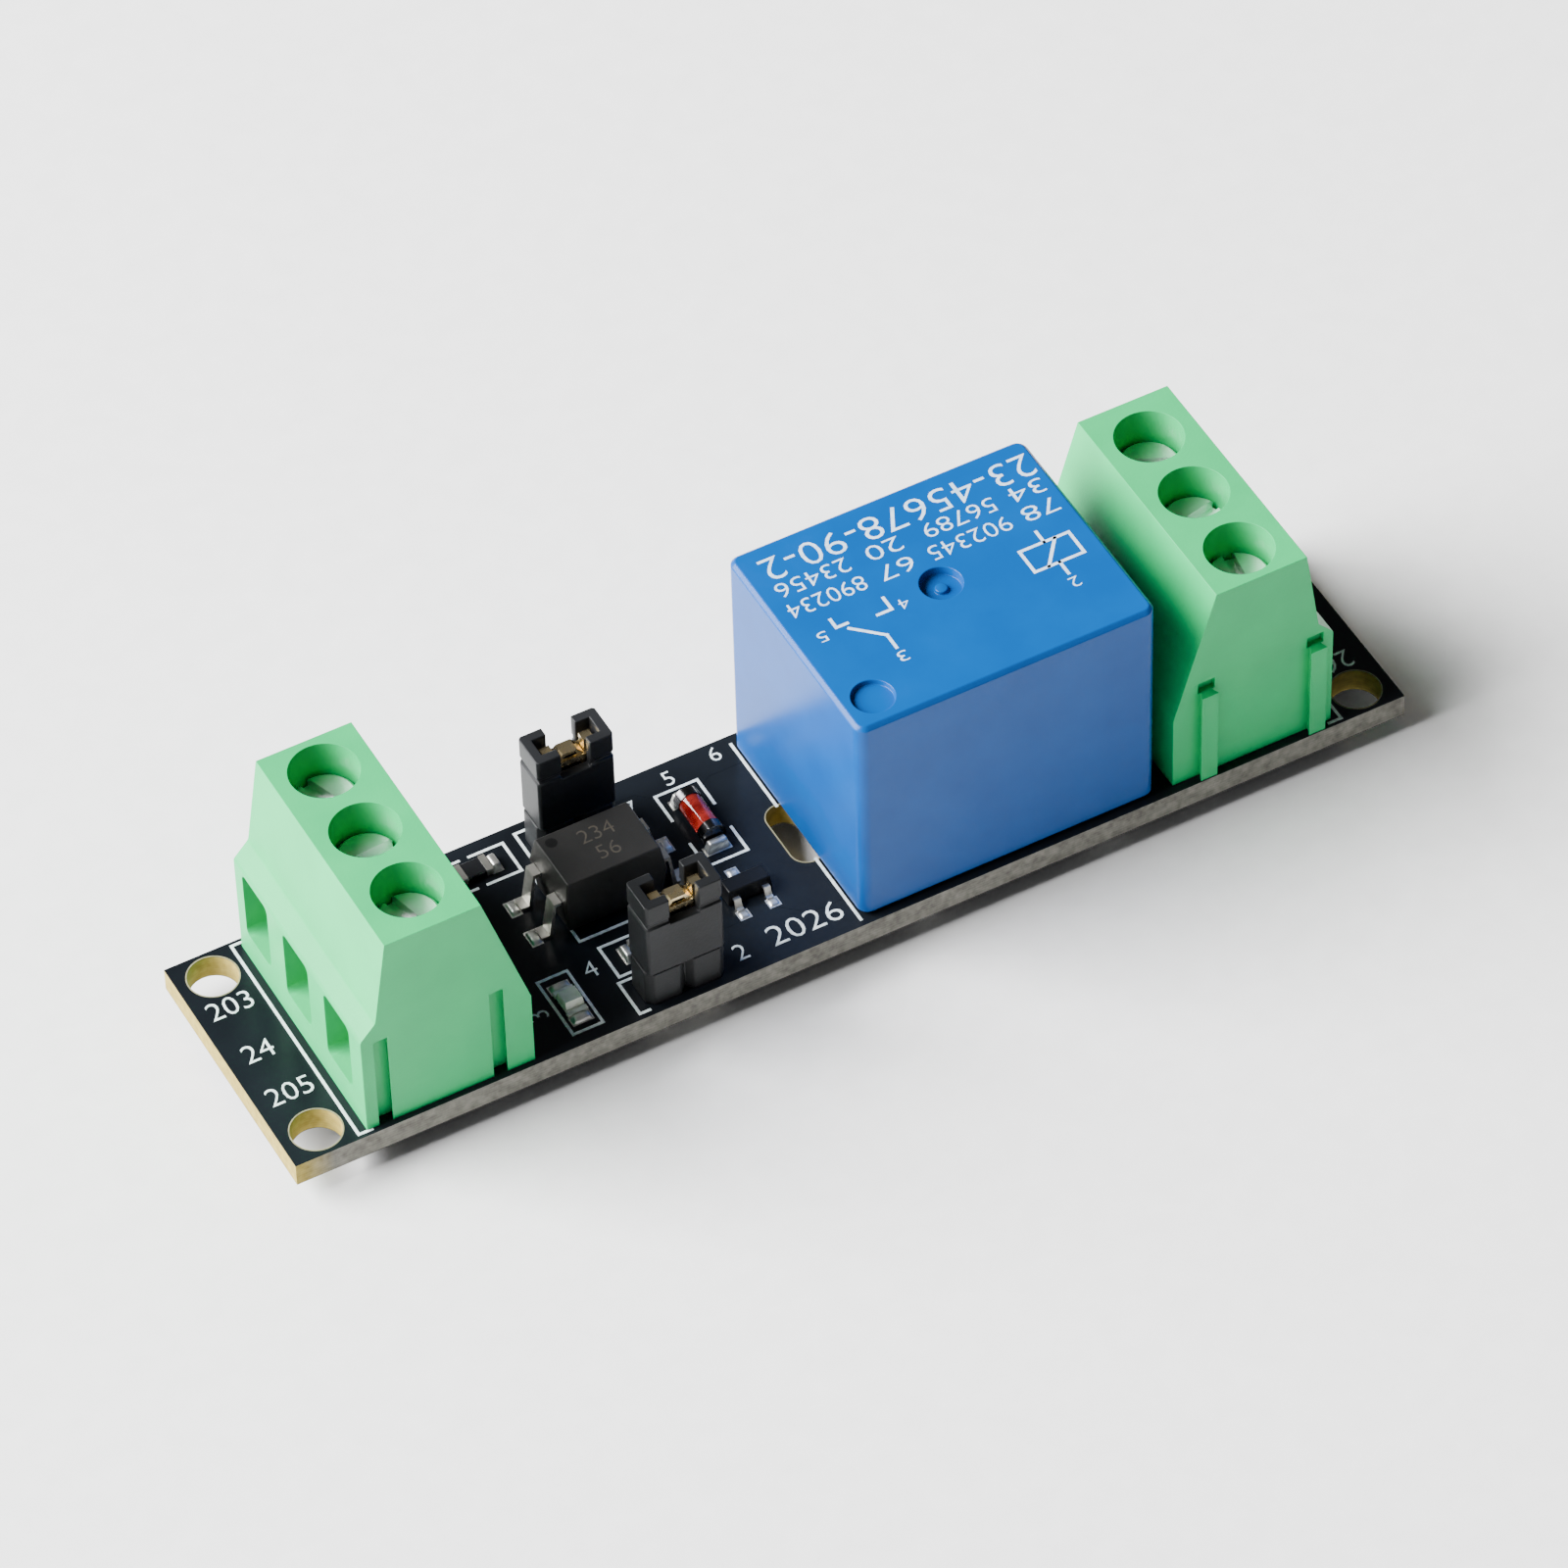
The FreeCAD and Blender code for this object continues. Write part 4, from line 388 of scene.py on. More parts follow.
fibres = add(tree, "ShaderNodeTexNoise", {
    "Vector": place, "Scale": per_mm(TORN_GLASS), "Detail": 4.0,
})
layer = add(tree, "ShaderNodeMath", {
    0: axes.outputs["Z"], 1: 2 * math.pi / (LAYER * MM),
}, operation="MULTIPLY")
lines = add(tree, "ShaderNodeMath", {0: layer.outputs[0]}, operation="SINE")
faint_lines = add(tree, "ShaderNodeMath", {
    0: lines.outputs[0], 1: LAYER_SHARE,
}, operation="MULTIPLY")
mottle = add(tree, "ShaderNodeMath", {
    0: fibres.outputs["Fac"], 1: faint_lines.outputs[0],
}, operation="ADD")
cut_tint = add(tree, "ShaderNodeMapRange", {
    "Value": mottle.outputs[0], "From Min": MOTTLE_LOW, "From Max": MOTTLE_HIGH,
})
edge_grey = add(tree, "ShaderNodeValToRGB", {"Fac": cut_tint.outputs["Result"]},
                stops=((0.0, "#57554f"), (1.0, "#8b8980")))
edge_yellow = add(tree, "ShaderNodeValToRGB", {"Fac": cut_tint.outputs["Result"]},
                  stops=((0.0, "#857436"), (1.0, "#ad9b52")))
print("layers of cloth:", round((BOARD_TOP - BOARD_UNDER) / LAYER))

# %% Where each colour goes
# The grey is on the outermost part of the long sides, and begins a little way in from
# the left end
SIDE_BAND = 0.05
GREY_BEGINS, GREY_FULL = 0.4, 2.4
# The cut edge lies between the two coated faces, a hair inside each of them
SKIN = 0.03

across = add(tree, "ShaderNodeMath", {0: axes.outputs["Y"]}, operation="ABSOLUTE")
long_side = add(tree, "ShaderNodeMath", {
    0: across.outputs[0], 1: (board_high.y - SIDE_BAND) * MM,
}, operation="GREATER_THAN")
inboard = add(tree, "ShaderNodeMapRange", {
    "Value": axes.outputs["X"], "From Min": (board_low.x + GREY_BEGINS) * MM,
    "From Max": (board_low.x + GREY_FULL) * MM,
})
greyed = add(tree, "ShaderNodeMath", {
    0: long_side.outputs[0], 1: inboard.outputs["Result"],
}, operation="MULTIPLY")
cut_colour = add(tree, "ShaderNodeMix", {
    FACTOR: greyed.outputs[0], FIRST: edge_yellow.outputs["Color"],
    SECOND: edge_grey.outputs["Color"],
}, data_type="RGBA")
above = add(tree, "ShaderNodeMath", {
    0: axes.outputs["Z"], 1: (BOARD_UNDER + SKIN) * MM,
}, operation="GREATER_THAN")
below = add(tree, "ShaderNodeMath", {
    0: axes.outputs["Z"], 1: (BOARD_TOP - SKIN) * MM,
}, operation="LESS_THAN")
is_edge = add(tree, "ShaderNodeMath", {
    0: above.outputs[0], 1: below.outputs[0],
}, operation="MULTIPLY")
board_colour = add(tree, "ShaderNodeMix", {
    FACTOR: is_edge.outputs[0], FIRST: mask_tint.outputs["Color"],
    SECOND: cut_colour.outputs[MIXED],
}, data_type="RGBA")
tree.links.new(board_colour.outputs[MIXED], shader.inputs["Base Color"])
gloss = add(tree, "ShaderNodeMapRange", {
    "Value": is_edge.outputs[0], "To Min": MASK_ROUGHNESS, "To Max": CUT_ROUGHNESS,
})
tree.links.new(gloss.outputs["Result"], shader.inputs["Roughness"])
print("grey from", GREY_BEGINS, "to", GREY_FULL, "mm inboard of the left end")

# %% [markdown]
# ## Inks, glass and ceramic
#
# The white ink on the board is screen-printed epoxy, a chalky film with a slightly ragged
# tone. The relay's ink is a film of the same kind, and so are the lamp's two metal ends,
# whose pale matt colour is a painted glint, so one function makes the three. The diode's
# tube is amber-red glass, so light goes through it. The lamp's lens is clear resin with a
# milky phosphor in it. A chip resistor is a ceramic sliver under a black glaze.

# %% Ink, glass, lens and glaze
# A film's tones: the size of their blobs in millimetres, and the part they spread over
FILM_BLOB = 0.35
FILM_SPREAD = (0.3, 0.6)


def chalky_film(name, light, dark):
    """A thin matt film, a little uneven in how much of it was laid down."""
    material, tree, shader, place = open_finish(name, Roughness=0.55, IOR=1.5)
    two_tones(tree, shader, place, FILM_BLOB, dark, light, FILM_SPREAD)
    return material


board_ink = chalky_film("screen_printed_white_ink", "#e4edee", "#b9c6c9")
relay_ink = chalky_film("pad_printed_pale_ink", "#c4d6e6", "#a3bfd9")
# The lamp's two metal ends as a matt, pale film with no mirror at all: the pale colour is a
# painted glint
lamp_ends_painted_glint = chalky_film("pale_film_with_painted_glint", "#e8e7e0", "#c9c8c0")
# Drawn glass tube: clear, smooth, with faint streaks of its red
tube_glass, tree, shader, place = open_finish(
    "amber_red_glass", Roughness=0.05, IOR=1.52, Transmission_Weight=0.55)
two_tones(tree, shader, place, blob=0.9, dark="#8c1412", light="#c63a30", detail=2.0)
# Cast resin with phosphor powder in it: pale, soft and hardly clear
milky_lens, tree, shader, place = open_finish(
    "milky_epoxy_lens", Roughness=0.25, IOR=1.52, Transmission_Weight=0.08)
two_tones(tree, shader, place, blob=0.5, dark="#e4efd8", light="#fbfff2", detail=2.0)
# Fired glaze over ceramic: smooth and glossy black
black_glaze = moulded_plastic(
    "glazed_ceramic_black", "#191a1d", "#101113", roughness=0.2,
    grain=0.4, depth=0.008, IOR=1.6)
print("finishes so far:", len(finishes_made))

# %% [markdown]
# ## Every node gets its finish
#
# The frame's nodes carry plain viewer materials. A table from words in the nodes' names
# to finishes replaces them all at once. The first entry that fits counts, so the narrow
# words stand before the wide ones, and the last entry fits whatever is left.

# %% Dress the nodes
FINISHES = {
    "circuit_board": mask_on_laminate,
    "terminal_housing": green_polyamide,
    "terminal_screw": zinc_plate,
    "wire_clamp": zinc_plate,
    "terminal_contact": tin_plate,
    "relay_cover": blue_polyester,
    "relay_base": base_polyester,
    "relay_bobbin": natural_polyamide,
    "relay_coil_pins": tin_plate,
    "relay_coil": copper_winding,
    "relay_contact_leaf": spring_bronze,
    "relay_rest_contact": tin_plate,
    "relay_work_contact": tin_plate,
    "relay_common_terminal": tin_plate,
    # The rest of the relay: its yoke, core and armature
    "relay_": nickel_plate,
    "jumper_header": charcoal_polyester,
    "jumper_pins": gold_plate,
    "jumper_cap": charcoal_polyester,
    "jumper_clip": gold_plate,
    "resistor_1_body": black_glaze,
    "resistor_2_body": black_glaze,
    "optocoupler_body": black_epoxy,
    "transistor_body": dark_epoxy,
    "diode_glass": tube_glass,
    "diode_caps": tin_with_painted_dark_reflection,
    "lamp_base_plate": natural_polyamide,
    "lamp_ends": lamp_ends_painted_glint,
    "lamp_lens": milky_lens,
    "solder": solder_metal,
    # Whatever is left: the leads and the resistors' ends
    "": tin_plate,
}


def finish_of(name):
    """The finish of the first table entry whose words are in the node's name."""
    return next(finish for words, finish in FINISHES.items() if words in name)


for name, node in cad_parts.items():
    node.data.materials.clear()
    node.data.materials.append(finish_of(name))
print("nodes dressed:", len(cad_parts))

# %% [markdown]
# ## Rounding the edges that light catches
#
# A moulded or stamped part never has a knife edge: its corners are rounded by a tenth of
# a millimetre or so, and that thin highlight is most of what makes a small part look
# real. The frame's nodes have sharp edges and are made of loose triangles. So a copy is
# merged, its flat faces are joined back together, and the sharp edges are bevelled. The
# copy then stands for the node.


# %% Helpers for pieces
def new_piece(bm, name, finish, body, nodes=(), smooth_below=40.0):
    """An object at the origin from a bmesh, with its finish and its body."""
    mesh = bpy.data.meshes.new(name)
    bm.to_mesh(mesh)
    bm.free()
    mesh.materials.append(finish)
    mesh.shade_smooth()
    mesh.set_sharp_from_angle(angle=math.radians(smooth_below))
    piece = put_in_scene(name, mesh)
    even = piece.modifiers.new("even_normals", "WEIGHTED_NORMAL")
    even.keep_sharp = True
    if nodes:
        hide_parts(*nodes)
    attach(piece, body)
    return piece


def merged_copy(node):
    """A bmesh copy of a node, whose loose triangles are joined at their corners."""
    bm = bmesh.new()
    bm.from_mesh(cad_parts[node].data)
    bmesh.ops.remove_doubles(bm, verts=bm.verts, dist=0.002 * MM)
    return bm


def round_edges(bm, edges, radius, segments):
    """Bevels edges to a round of this radius in millimetres."""
    bmesh.ops.bevel(
        bm, geom=edges, offset=radius * MM, offset_type="OFFSET", affect="EDGES",
        segments=segments, profile=0.5, material=-1, clamp_overlap=True,
    )


print("helpers for pieces ready")

# %% Rounded copies
# In degrees: faces are joined below the first, and edges are rounded above the second
FLAT_BELOW, SHARP_ABOVE = 0.5, 35.0
# Body, slot and edge radius in millimetres of each node whose edges show
SOFTENED = {
    "input_terminal_housing": ("module", "green_plastic", 0.12),
    "output_terminal_housing": ("module", "green_plastic", 0.12),
    "relay_cover": ("module", "blue_plastic", 0.14),
    "optocoupler_body": ("module", "black_plastic", 0.1),
    "transistor_body": ("module", "black_plastic", 0.08),
    "jumper_header_1": ("module", "grey_plastic", 0.1),
    "jumper_header_2": ("module", "grey_plastic", 0.1),
    "jumper_cap_1": ("jumper_1", "grey_plastic", 0.1),
    "jumper_cap_2": ("jumper_2", "grey_plastic", 0.1),
    "resistor_1_body": ("module", "ceramic_chip", 0.05),
    "resistor_2_body": ("module", "ceramic_chip", 0.05),
}
for name, (body, slot, radius) in SOFTENED.items():
    bm = merged_copy(name)
    bmesh.ops.dissolve_limit(
        bm, angle_limit=math.radians(FLAT_BELOW), verts=bm.verts, edges=bm.edges)
    corners = [
        edge for edge in bm.edges
        if len(edge.link_faces) == 2 and edge.calc_face_angle() > math.radians(SHARP_ABOVE)
    ]
    round_edges(bm, corners, radius, segments=2)
    print(name, "faces:", len(bm.faces))
    new_piece(bm, f"{name}_rounded", finish_of(name), body, [name])

# %% [markdown]
# ## Bare rims round the holes
#
# The corner holes and the milled slot are cut through the finished board, and the lacquer
# is kept a little under a tenth of a millimetre away from each cut. That leaves a thin
# pale rim of bare laminate on both faces. A rim is a very flat ring, so its little
# section is spun once round the hole's middle. A slot is a hole whose two halves are
# pulled apart: the same ring serves, and each half of its points is moved along the slot.

# %% Rims of bare laminate
HOLE_WIDTH = 3.0
HOLE_FROM_END, HOLE_FROM_SIDE = 2.2, 1.82
RIM_REACH, RIM_FILM, RIM_STEPS = 0.07, 0.012, 48
# Points nearer than this, in millimetres, are one point that a spin made twice
DOUBLED = 0.0005


def spin_outline(bm, x, y, outline, steps):
    """Spins (radius, height) points in millimetres round Z, and returns the new points."""
    old = set(bm.verts)
    verts = [bm.verts.new(mm(x + radius, y, height)) for radius, height in outline]
    edges = [bm.edges.new(pair) for pair in zip(verts, verts[1:])]
    bmesh.ops.spin(
        bm, geom=verts + edges, cent=mm(x, y), axis=(0, 0, 1), dvec=(0, 0, 0),
        angle=2 * math.pi, steps=steps, use_merge=True, use_duplicate=False,
    )
    return [vert for vert in bm.verts if vert not in old]


bare_laminate = chalky_film("bare_glass_epoxy", "#8d8768", "#6c684f")
hole_x, hole_y = board_high.x - HOLE_FROM_END, board_high.y - HOLE_FROM_SIDE
# Middle, length and width of each cut: the four holes, and the slot
CUTS = [(x * hole_x, y * hole_y, HOLE_WIDTH, HOLE_WIDTH) for x in (-1, 1) for y in (-1, 1)]
CUTS.append((0.1, -0.22, 4.8, 2.0))
half_step = Matrix.Rotation(math.pi / RIM_STEPS, 3, "Z")
bm = bmesh.new()
for x, y, length, width in CUTS:
    for foot in (BOARD_TOP, BOARD_UNDER - RIM_FILM):
        inner, outer, head = width / 2, width / 2 + RIM_REACH, foot + RIM_FILM
        corners = [(inner, foot), (outer, foot), (outer, head), (inner, head)]
        ring = spin_outline(bm, x, y, corners + corners[:1], RIM_STEPS)
        # Half a step on, no point lies on the line between the two halves
        bmesh.ops.rotate(bm, verts=ring, cent=mm(x, y), matrix=half_step)
        for way in (-1, 1):
            half = [vert for vert in ring if way * (vert.co.y / MM - y) > 0]
            bmesh.ops.translate(bm, verts=half, vec=mm(0, way * (length - width) / 2))
bmesh.ops.remove_doubles(bm, verts=bm.verts, dist=DOUBLED * MM)
bmesh.ops.recalc_face_normals(bm, faces=bm.faces)
rims = new_piece(bm, "bare_rims", bare_laminate, "module")
print("rims:", 2 * len(CUTS), "faces:", len(rims.data.polygons))

# %% [markdown]
# ## Solder joints under the board
#
# Under the board every tail is fixed by a little volcano of solder that climbs the metal
# and thins out on the pad. The frame has them as plain eight-sided cones. A better one is
# a hollow curve, steep at the pin and flat at the rim, spun round the pin. The places are
# taken from the frame's own cones, so each new joint stands exactly where the old one did.

# %% Solder joints
JOINT_STEPS = 32
# The solder's flat edge on the pad, then its curve as shares of the radius and the height
JOINT_EDGE = 0.04
JOINT_CURVE = [(0.78, 0.16), (0.6, 0.4), (0.5, 0.7), (0.44, 0.94), (0.34, 1.0)]


def islands(node):
    """The lowest and highest corners, in millimetres, of each loose part of a node."""
    bm = merged_copy(node)
    waiting = set(bm.verts)
    boxes = []
    while waiting:
        part = {waiting.pop()}
        newest = set(part)
        while newest:
            newest = {e.other_vert(v) for v in newest for e in v.link_edges} - part
            part |= newest
        waiting -= part
        axes_mm = list(zip(*(vert.co / MM for vert in part)))
        low, high = [Vector([pick(axis) for axis in axes_mm]) for pick in (min, max)]
        boxes.append((low, high))
    bm.free()
    return sorted(boxes, key=lambda box: tuple(box[0]))


joints = islands("solder_joints")
bm = bmesh.new()
for low, high in joints:
    middle = (low + high) / 2
    radius, tall = (high.x - low.x) / 2, high.z - low.z
    outline = [(0.0, high.z), (radius, high.z), (radius, high.z - JOINT_EDGE)]
    outline += [(radius * wide, high.z - tall * down) for wide, down in JOINT_CURVE]
    spin_outline(bm, middle.x, middle.y, outline + [(0.0, low.z)], JOINT_STEPS)
# The spin leaves doubled points on the axis, and faces that may point inwards
bmesh.ops.remove_doubles(bm, verts=bm.verts, dist=DOUBLED * MM)
bmesh.ops.recalc_face_normals(bm, faces=bm.faces)
new_piece(
    bm, "solder_joints_smooth", solder_metal, "module", ["solder_joints"],
    smooth_below=70.0)
print("solder joints:", len(joints))

# %% [markdown]
# ## Tinned pads and rounded solder
#
# Round each surface part's solder lies the tinned pad that it wetted, a little larger
# than the joint. The solder itself froze as a small mound. Both start as blocks in the
# place of the frame's plain solder. The pad is left square and thin. The mound is drawn
# in towards its top, and every edge off the board is melted round.

# %% Pads and solder
PAD_FILM, PAD_SPREAD = 0.03, 0.05
MOUND_TAPER, MOUND_ROUND = 0.72, 0.12
# Edges within this height of the board stay square
ON_BOARD = 0.02


def block(bm, middle, size, turn=0.0, taper=1.0):
    """A block about a middle, in millimetres, turned about Z and drawn in at its top."""
    corners = bmesh.ops.create_cube(bm, size=1.0)["verts"]
    top = [corner for corner in corners if corner.co.z > 0]
    bmesh.ops.scale(bm, verts=top, vec=(taper, taper, 1.0))
    bmesh.ops.scale(bm, verts=corners, vec=size * MM)
    bmesh.ops.rotate(
        bm, verts=corners, cent=(0, 0, 0), matrix=Matrix.Rotation(turn, 3, "Z"))
    bmesh.ops.translate(bm, verts=corners, vec=middle * MM)


pads_bm, mounds_bm = bmesh.new(), bmesh.new()
for low, high in islands("surface_solder"):
    middle, size = (low + high) / 2, high - low
    block(mounds_bm, middle, size, taper=MOUND_TAPER)
    middle.z, size.z = BOARD_TOP + PAD_FILM / 2, PAD_FILM
    block(pads_bm, middle, size + Vector((2 * PAD_SPREAD, 2 * PAD_SPREAD, 0)))
pads = new_piece(pads_bm, "tinned_pads", solder_metal, "module")
square_below = (BOARD_TOP + ON_BOARD) * MM
melted = [
    edge for edge in mounds_bm.edges
    if max(vert.co.z for vert in edge.verts) > square_below
]
round_edges(mounds_bm, melted, MOUND_ROUND, segments=3)
mounds = new_piece(
    mounds_bm, "surface_solder_rounded", solder_metal, "module",
    ["surface_solder"], smooth_below=80.0)
print("pads:", len(pads.data.polygons) // 6, "mound faces:", len(mounds.data.polygons))

# %% [markdown]
# ## Covered tracks
#
# The tracks that join the parts are copper too, but they run under the black lacquer, so
# only their raised edges show. They are drawn as low bars with the board's own finish: a
# block for each straight run, as long as the run and its own width, so that the runs
# overlap at the corners.

# %% Tracks
# How high a track lifts the lacquer: less than the ink, so that print covers a track
TRACK = 0.012
# Every second run is a hair thicker, so that two runs share no plane where they meet
LIFT = 0.002
# Runs of places in millimetres, after the width of the run: on the top face, and under it
TOP_TRACKS = [
    (0.6, [(-19.2, -5.2), (-19.2, 4.6), (-18.6, 5.2)]),
    (0.5, [(-16.2, 5.2), (-14.8, 3.6), (-14.8, 2.6)]),
    (0.5, [(-17.05, -3.2), (-17.05, -1.2), (-15.4, 0.1)]),
    (0.5, [(-9.6, -3.67), (-7.2, -4.4), (-5.4, -4.4)]),
    (0.8, [(-4.45, -0.9), (-4.45, 0.4), (-4.3, 1.1)]),
    (0.8, [(-3.2, -4.4), (-1.8, -5.6), (1.2, -5.6)]),
    (0.8, [(-4.3, 5.2), (-2.2, 6.5), (1.0, 6.5)]),
    (0.6, [(-8.4, 7.2), (-6.4, 7.2), (-4.9, 5.8)]),
    (1.0, [(20.0, -6.4), (20.6, -7.0)]),
]
UNDER_TRACKS = [
    (3.0, [(17.6, 0.0), (22.5, 0.0)]),
    (2.4, [(17.6, -6.0), (22.5, -5.0)]),
    (2.4, [(17.6, 6.0), (22.5, 5.0)]),
    (1.2, [(-22.5, -5.0), (-15.0, -6.6), (-4.0, -6.6), (1.6, -5.9)]),
    (1.2, [(-22.5, 5.0), (-15.0, 6.8), (-4.0, 6.8), (1.6, 5.9)]),
    (0.8, [(-22.5, 0.0), (-14.0, 0.0), (-12.0, -2.0)]),
]


def line(bm, places, width, foot, film, under=False):
    """A flat line through places on a face, from the height of its foot up by its film."""
    for step, (start, end) in enumerate(zip(places, places[1:])):
        extra = LIFT * (step % 2)
        run = Vector(end) - Vector(start)
        middle = ((Vector(start) + Vector(end)) / 2).to_3d()
        middle.z = foot + (film + extra) / 2 - (extra if under else 0.0)
        size = Vector((run.length + width, width, film + extra))
        block(bm, middle, size, turn=math.atan2(run.y, run.x))


bm = bmesh.new()
for width, places in TOP_TRACKS:
    line(bm, places, width, BOARD_TOP, TRACK)
for width, places in UNDER_TRACKS:
    line(bm, places, width, BOARD_UNDER - TRACK, TRACK, under=True)
tracks = new_piece(bm, "covered_tracks", mask_on_laminate, "module")
print("track runs:", len(tracks.data.polygons) // 6)

# %% [markdown]
# ## Printed outlines
#
# The white outlines show where each part goes. A screen prints them all as one film of
# ink of even thickness, so they are lines again, a little higher than the tracks. Their
# places are measured from the board's front left corner, as a maker would.

# %% White outlines
INK = 0.024
INK_LINE = 0.18


def from_corner(x, y):
    """A place measured from the board's front left corner, in the frame's millimetres."""
    return (board_low.x + x, board_low.y + y)


def path(*places):
    """An open run of lines through places measured from the board's corner."""
    return [from_corner(x, y) for x, y in places]


terminal_edge = path((4.9, 0.3), (4.1, 0.3), (4.1, 16.34), (4.9, 16.34))
OUTLINES = [
    terminal_edge,
    # The other terminal's edge is the same one, turned by half a turn
    [(-x, -y) for x, y in terminal_edge],
    # Relay: its left side, broken by the slot
    path((36.1, 0.45), (36.1, 5.75)),
    path((36.1, 10.45), (36.1, 15.95)),
    # Jumper 1 and jumper 2
    path((22.0, 13.1), (22.0, 15.96), (27.4, 15.96), (27.4, 13.1), (22.0, 13.1)),
    path((22.5, 0.4), (21.88, 0.4), (21.88, 3.0), (27.2, 3.0), (27.2, 0.9)),
    # Lamp
    path((17.9, 0.9), (19.8, 0.9), (19.8, 5.3), (17.9, 5.3), (17.9, 0.9)),
    # Optocoupler
    path((21.45, 12.45), (21.45, 6.87), (26.95, 6.87), (26.95, 12.45)),
    # Resistor 1 and resistor 2, a bracket at each end
    path((18.94, 13.3), (21.1, 13.3), (21.1, 15.7), (18.94, 15.7)),
    path((18.26, 13.3), (16.1, 13.3), (16.1, 15.7), (18.26, 15.7)),
    path((24.3, 3.4), (22.15, 3.4), (22.15, 5.9), (24.3, 5.9)),
    path((25.0, 3.4), (27.15, 3.4), (27.15, 5.9), (25.0, 5.9)),
    # Diode, a bracket at each end
    path((30.35, 12.4), (30.35, 14.5), (33.1, 14.5), (33.1, 12.4)),
    path((30.4, 10.3), (30.4, 8.3), (33.07, 8.3), (33.07, 10.3)),
]
bm = bmesh.new()
for places in OUTLINES:
    line(bm, places, INK_LINE, BOARD_TOP, INK)
outlines = new_piece(bm, "printed_outlines", board_ink, "module")
print("printed lines:", len(outlines.data.polygons) // 6)

# %% [markdown]
# ## Printed numbers
#
# Small numbers stand by the terminals and the parts, in the same ink. They come from
# Blender's own font, with its strokes made a little thinner, as thin print has them. The
# text is made a mesh while it still lies at the origin, then moved to its place, so the
# finished piece needs no object transform.

# %% Numbers
# A digit of the font is this share of the text's size
DIGIT_TALL = 0.69
# Its outline is drawn in by this share of the digit's height
STROKE = -0.014
CURVE_STEPS = 3


def number(bm, text, spot, tall, turn, foot, wide=None):
    """Prints a number: middle, height and width in millimetres, and a turn in degrees."""
    letters = bpy.data.curves.new("number", "FONT")
    letters.body = text
    letters.align_x = "CENTER"
    letters.align_y = "CENTER"
    letters.size = tall * MM / DIGIT_TALL
    letters.extrude = INK / 2 * MM
    letters.offset = STROKE * tall * MM
    letters.resolution_u = CURVE_STEPS
    holder = bpy.data.objects.new("number", letters)
    mesh = bpy.data.meshes.new_from_object(holder)
    if wide:
        xs = [vert.co.x for vert in mesh.vertices]
        stretch = wide * MM / (max(xs) - min(xs))
        mesh.transform(Matrix.Scale(stretch, 4, (1, 0, 0)))
    move = Matrix.Translation(mm(*spot, foot + INK / 2))
    mesh.transform(move @ Matrix.Rotation(math.radians(turn), 4, "Z"))
    bm.from_mesh(mesh)
    bpy.data.objects.remove(holder)
    bpy.data.curves.remove(letters)
    bpy.data.meshes.remove(mesh)


# Text, middle from the board's corner, height, turn and, where it is stretched, width
BOARD_NUMBERS = [
    ("203", (2.1, 12.3), 1.35, 0),
    ("24", (1.95, 8.5), 1.35, 0),
    ("205", (2.2, 5.0), 1.35, 0),
    ("4", (21.0, 4.65), 1.2, 0),
    ("3", (16.9, 3.1), 1.2, 90),
    ("2", (29.0, 1.6), 1.2, 0),
    ("7", (28.7, 14.3), 1.2, 0),
    ("5", (31.7, 15.35), 1.1, 0),
    ("6", (34.9, 15.7), 1.1, 0),
    ("2026", (33.2, 1.7), 1.5, 0, 4.6),
    ("26", (69.8, 4.3), 1.35, 180),
    ("27", (69.8, 8.3), 1.35, 180),
    ("28", (69.8, 12.3), 1.35, 180),
]
bm = bmesh.new()
for text, (x, y), tall, turn, *wide in BOARD_NUMBERS:
    number(bm, text, from_corner(x, y), tall, turn, BOARD_TOP, *wide)
numbers = new_piece(bm, "printed_numbers", board_ink, "module")
print("numbers:", len(BOARD_NUMBERS), "faces:", len(numbers.data.polygons))

# %% [markdown]
# ## Printing on the relay
#
# The top of the relay carries three rows of plain numbers and its wiring diagram: a coil,
# and a switch with its two contacts. A soft pad stamps them on, upside down as seen from
# the front. Lines and numbers are enough, made as the board's are. They are sunk into the
# cover, because the pad's ink is much thinner than a screen's.

# %% Wiring diagram and rows on the relay's top
DIAGRAM_LINE = 0.2
relay_low, relay_high = corner_mm("relay_cover")
relay_mid = (relay_low + relay_high) / 2
# Only this hair of the ink stands above the cover
PRINT_FOOT = relay_high.z - INK + LIFT


def on_relay(x, y):
    """A place on the relay's top, from its middle, turned half round for the print."""
    return (relay_mid.x - x, relay_mid.y - y)


DIAGRAM = [
    # Coil, with a slanted stroke across it and its two leads
    [(-8.2, 0.1), (-5.0, 0.1), (-5.0, 1.9), (-8.2, 1.9), (-8.2, 0.1)],
    [(-7.3, 0.1), (-5.9, 1.9)],
    [(-6.6, 1.9), (-6.6, 2.9)],
    [(-6.6, 0.1), (-6.6, -0.8)],
    # Switch: common lead and moving arm, then one contact and the other
    [(4.6, 3.1), (4.6, 2.0), (6.2, 0.5)],
    [(3.4, -0.6), (3.4, 0.4), (4.3, 0.4)],
    [(6.8, -0.6), (6.8, 0.1), (6.1, 0.1)],
]
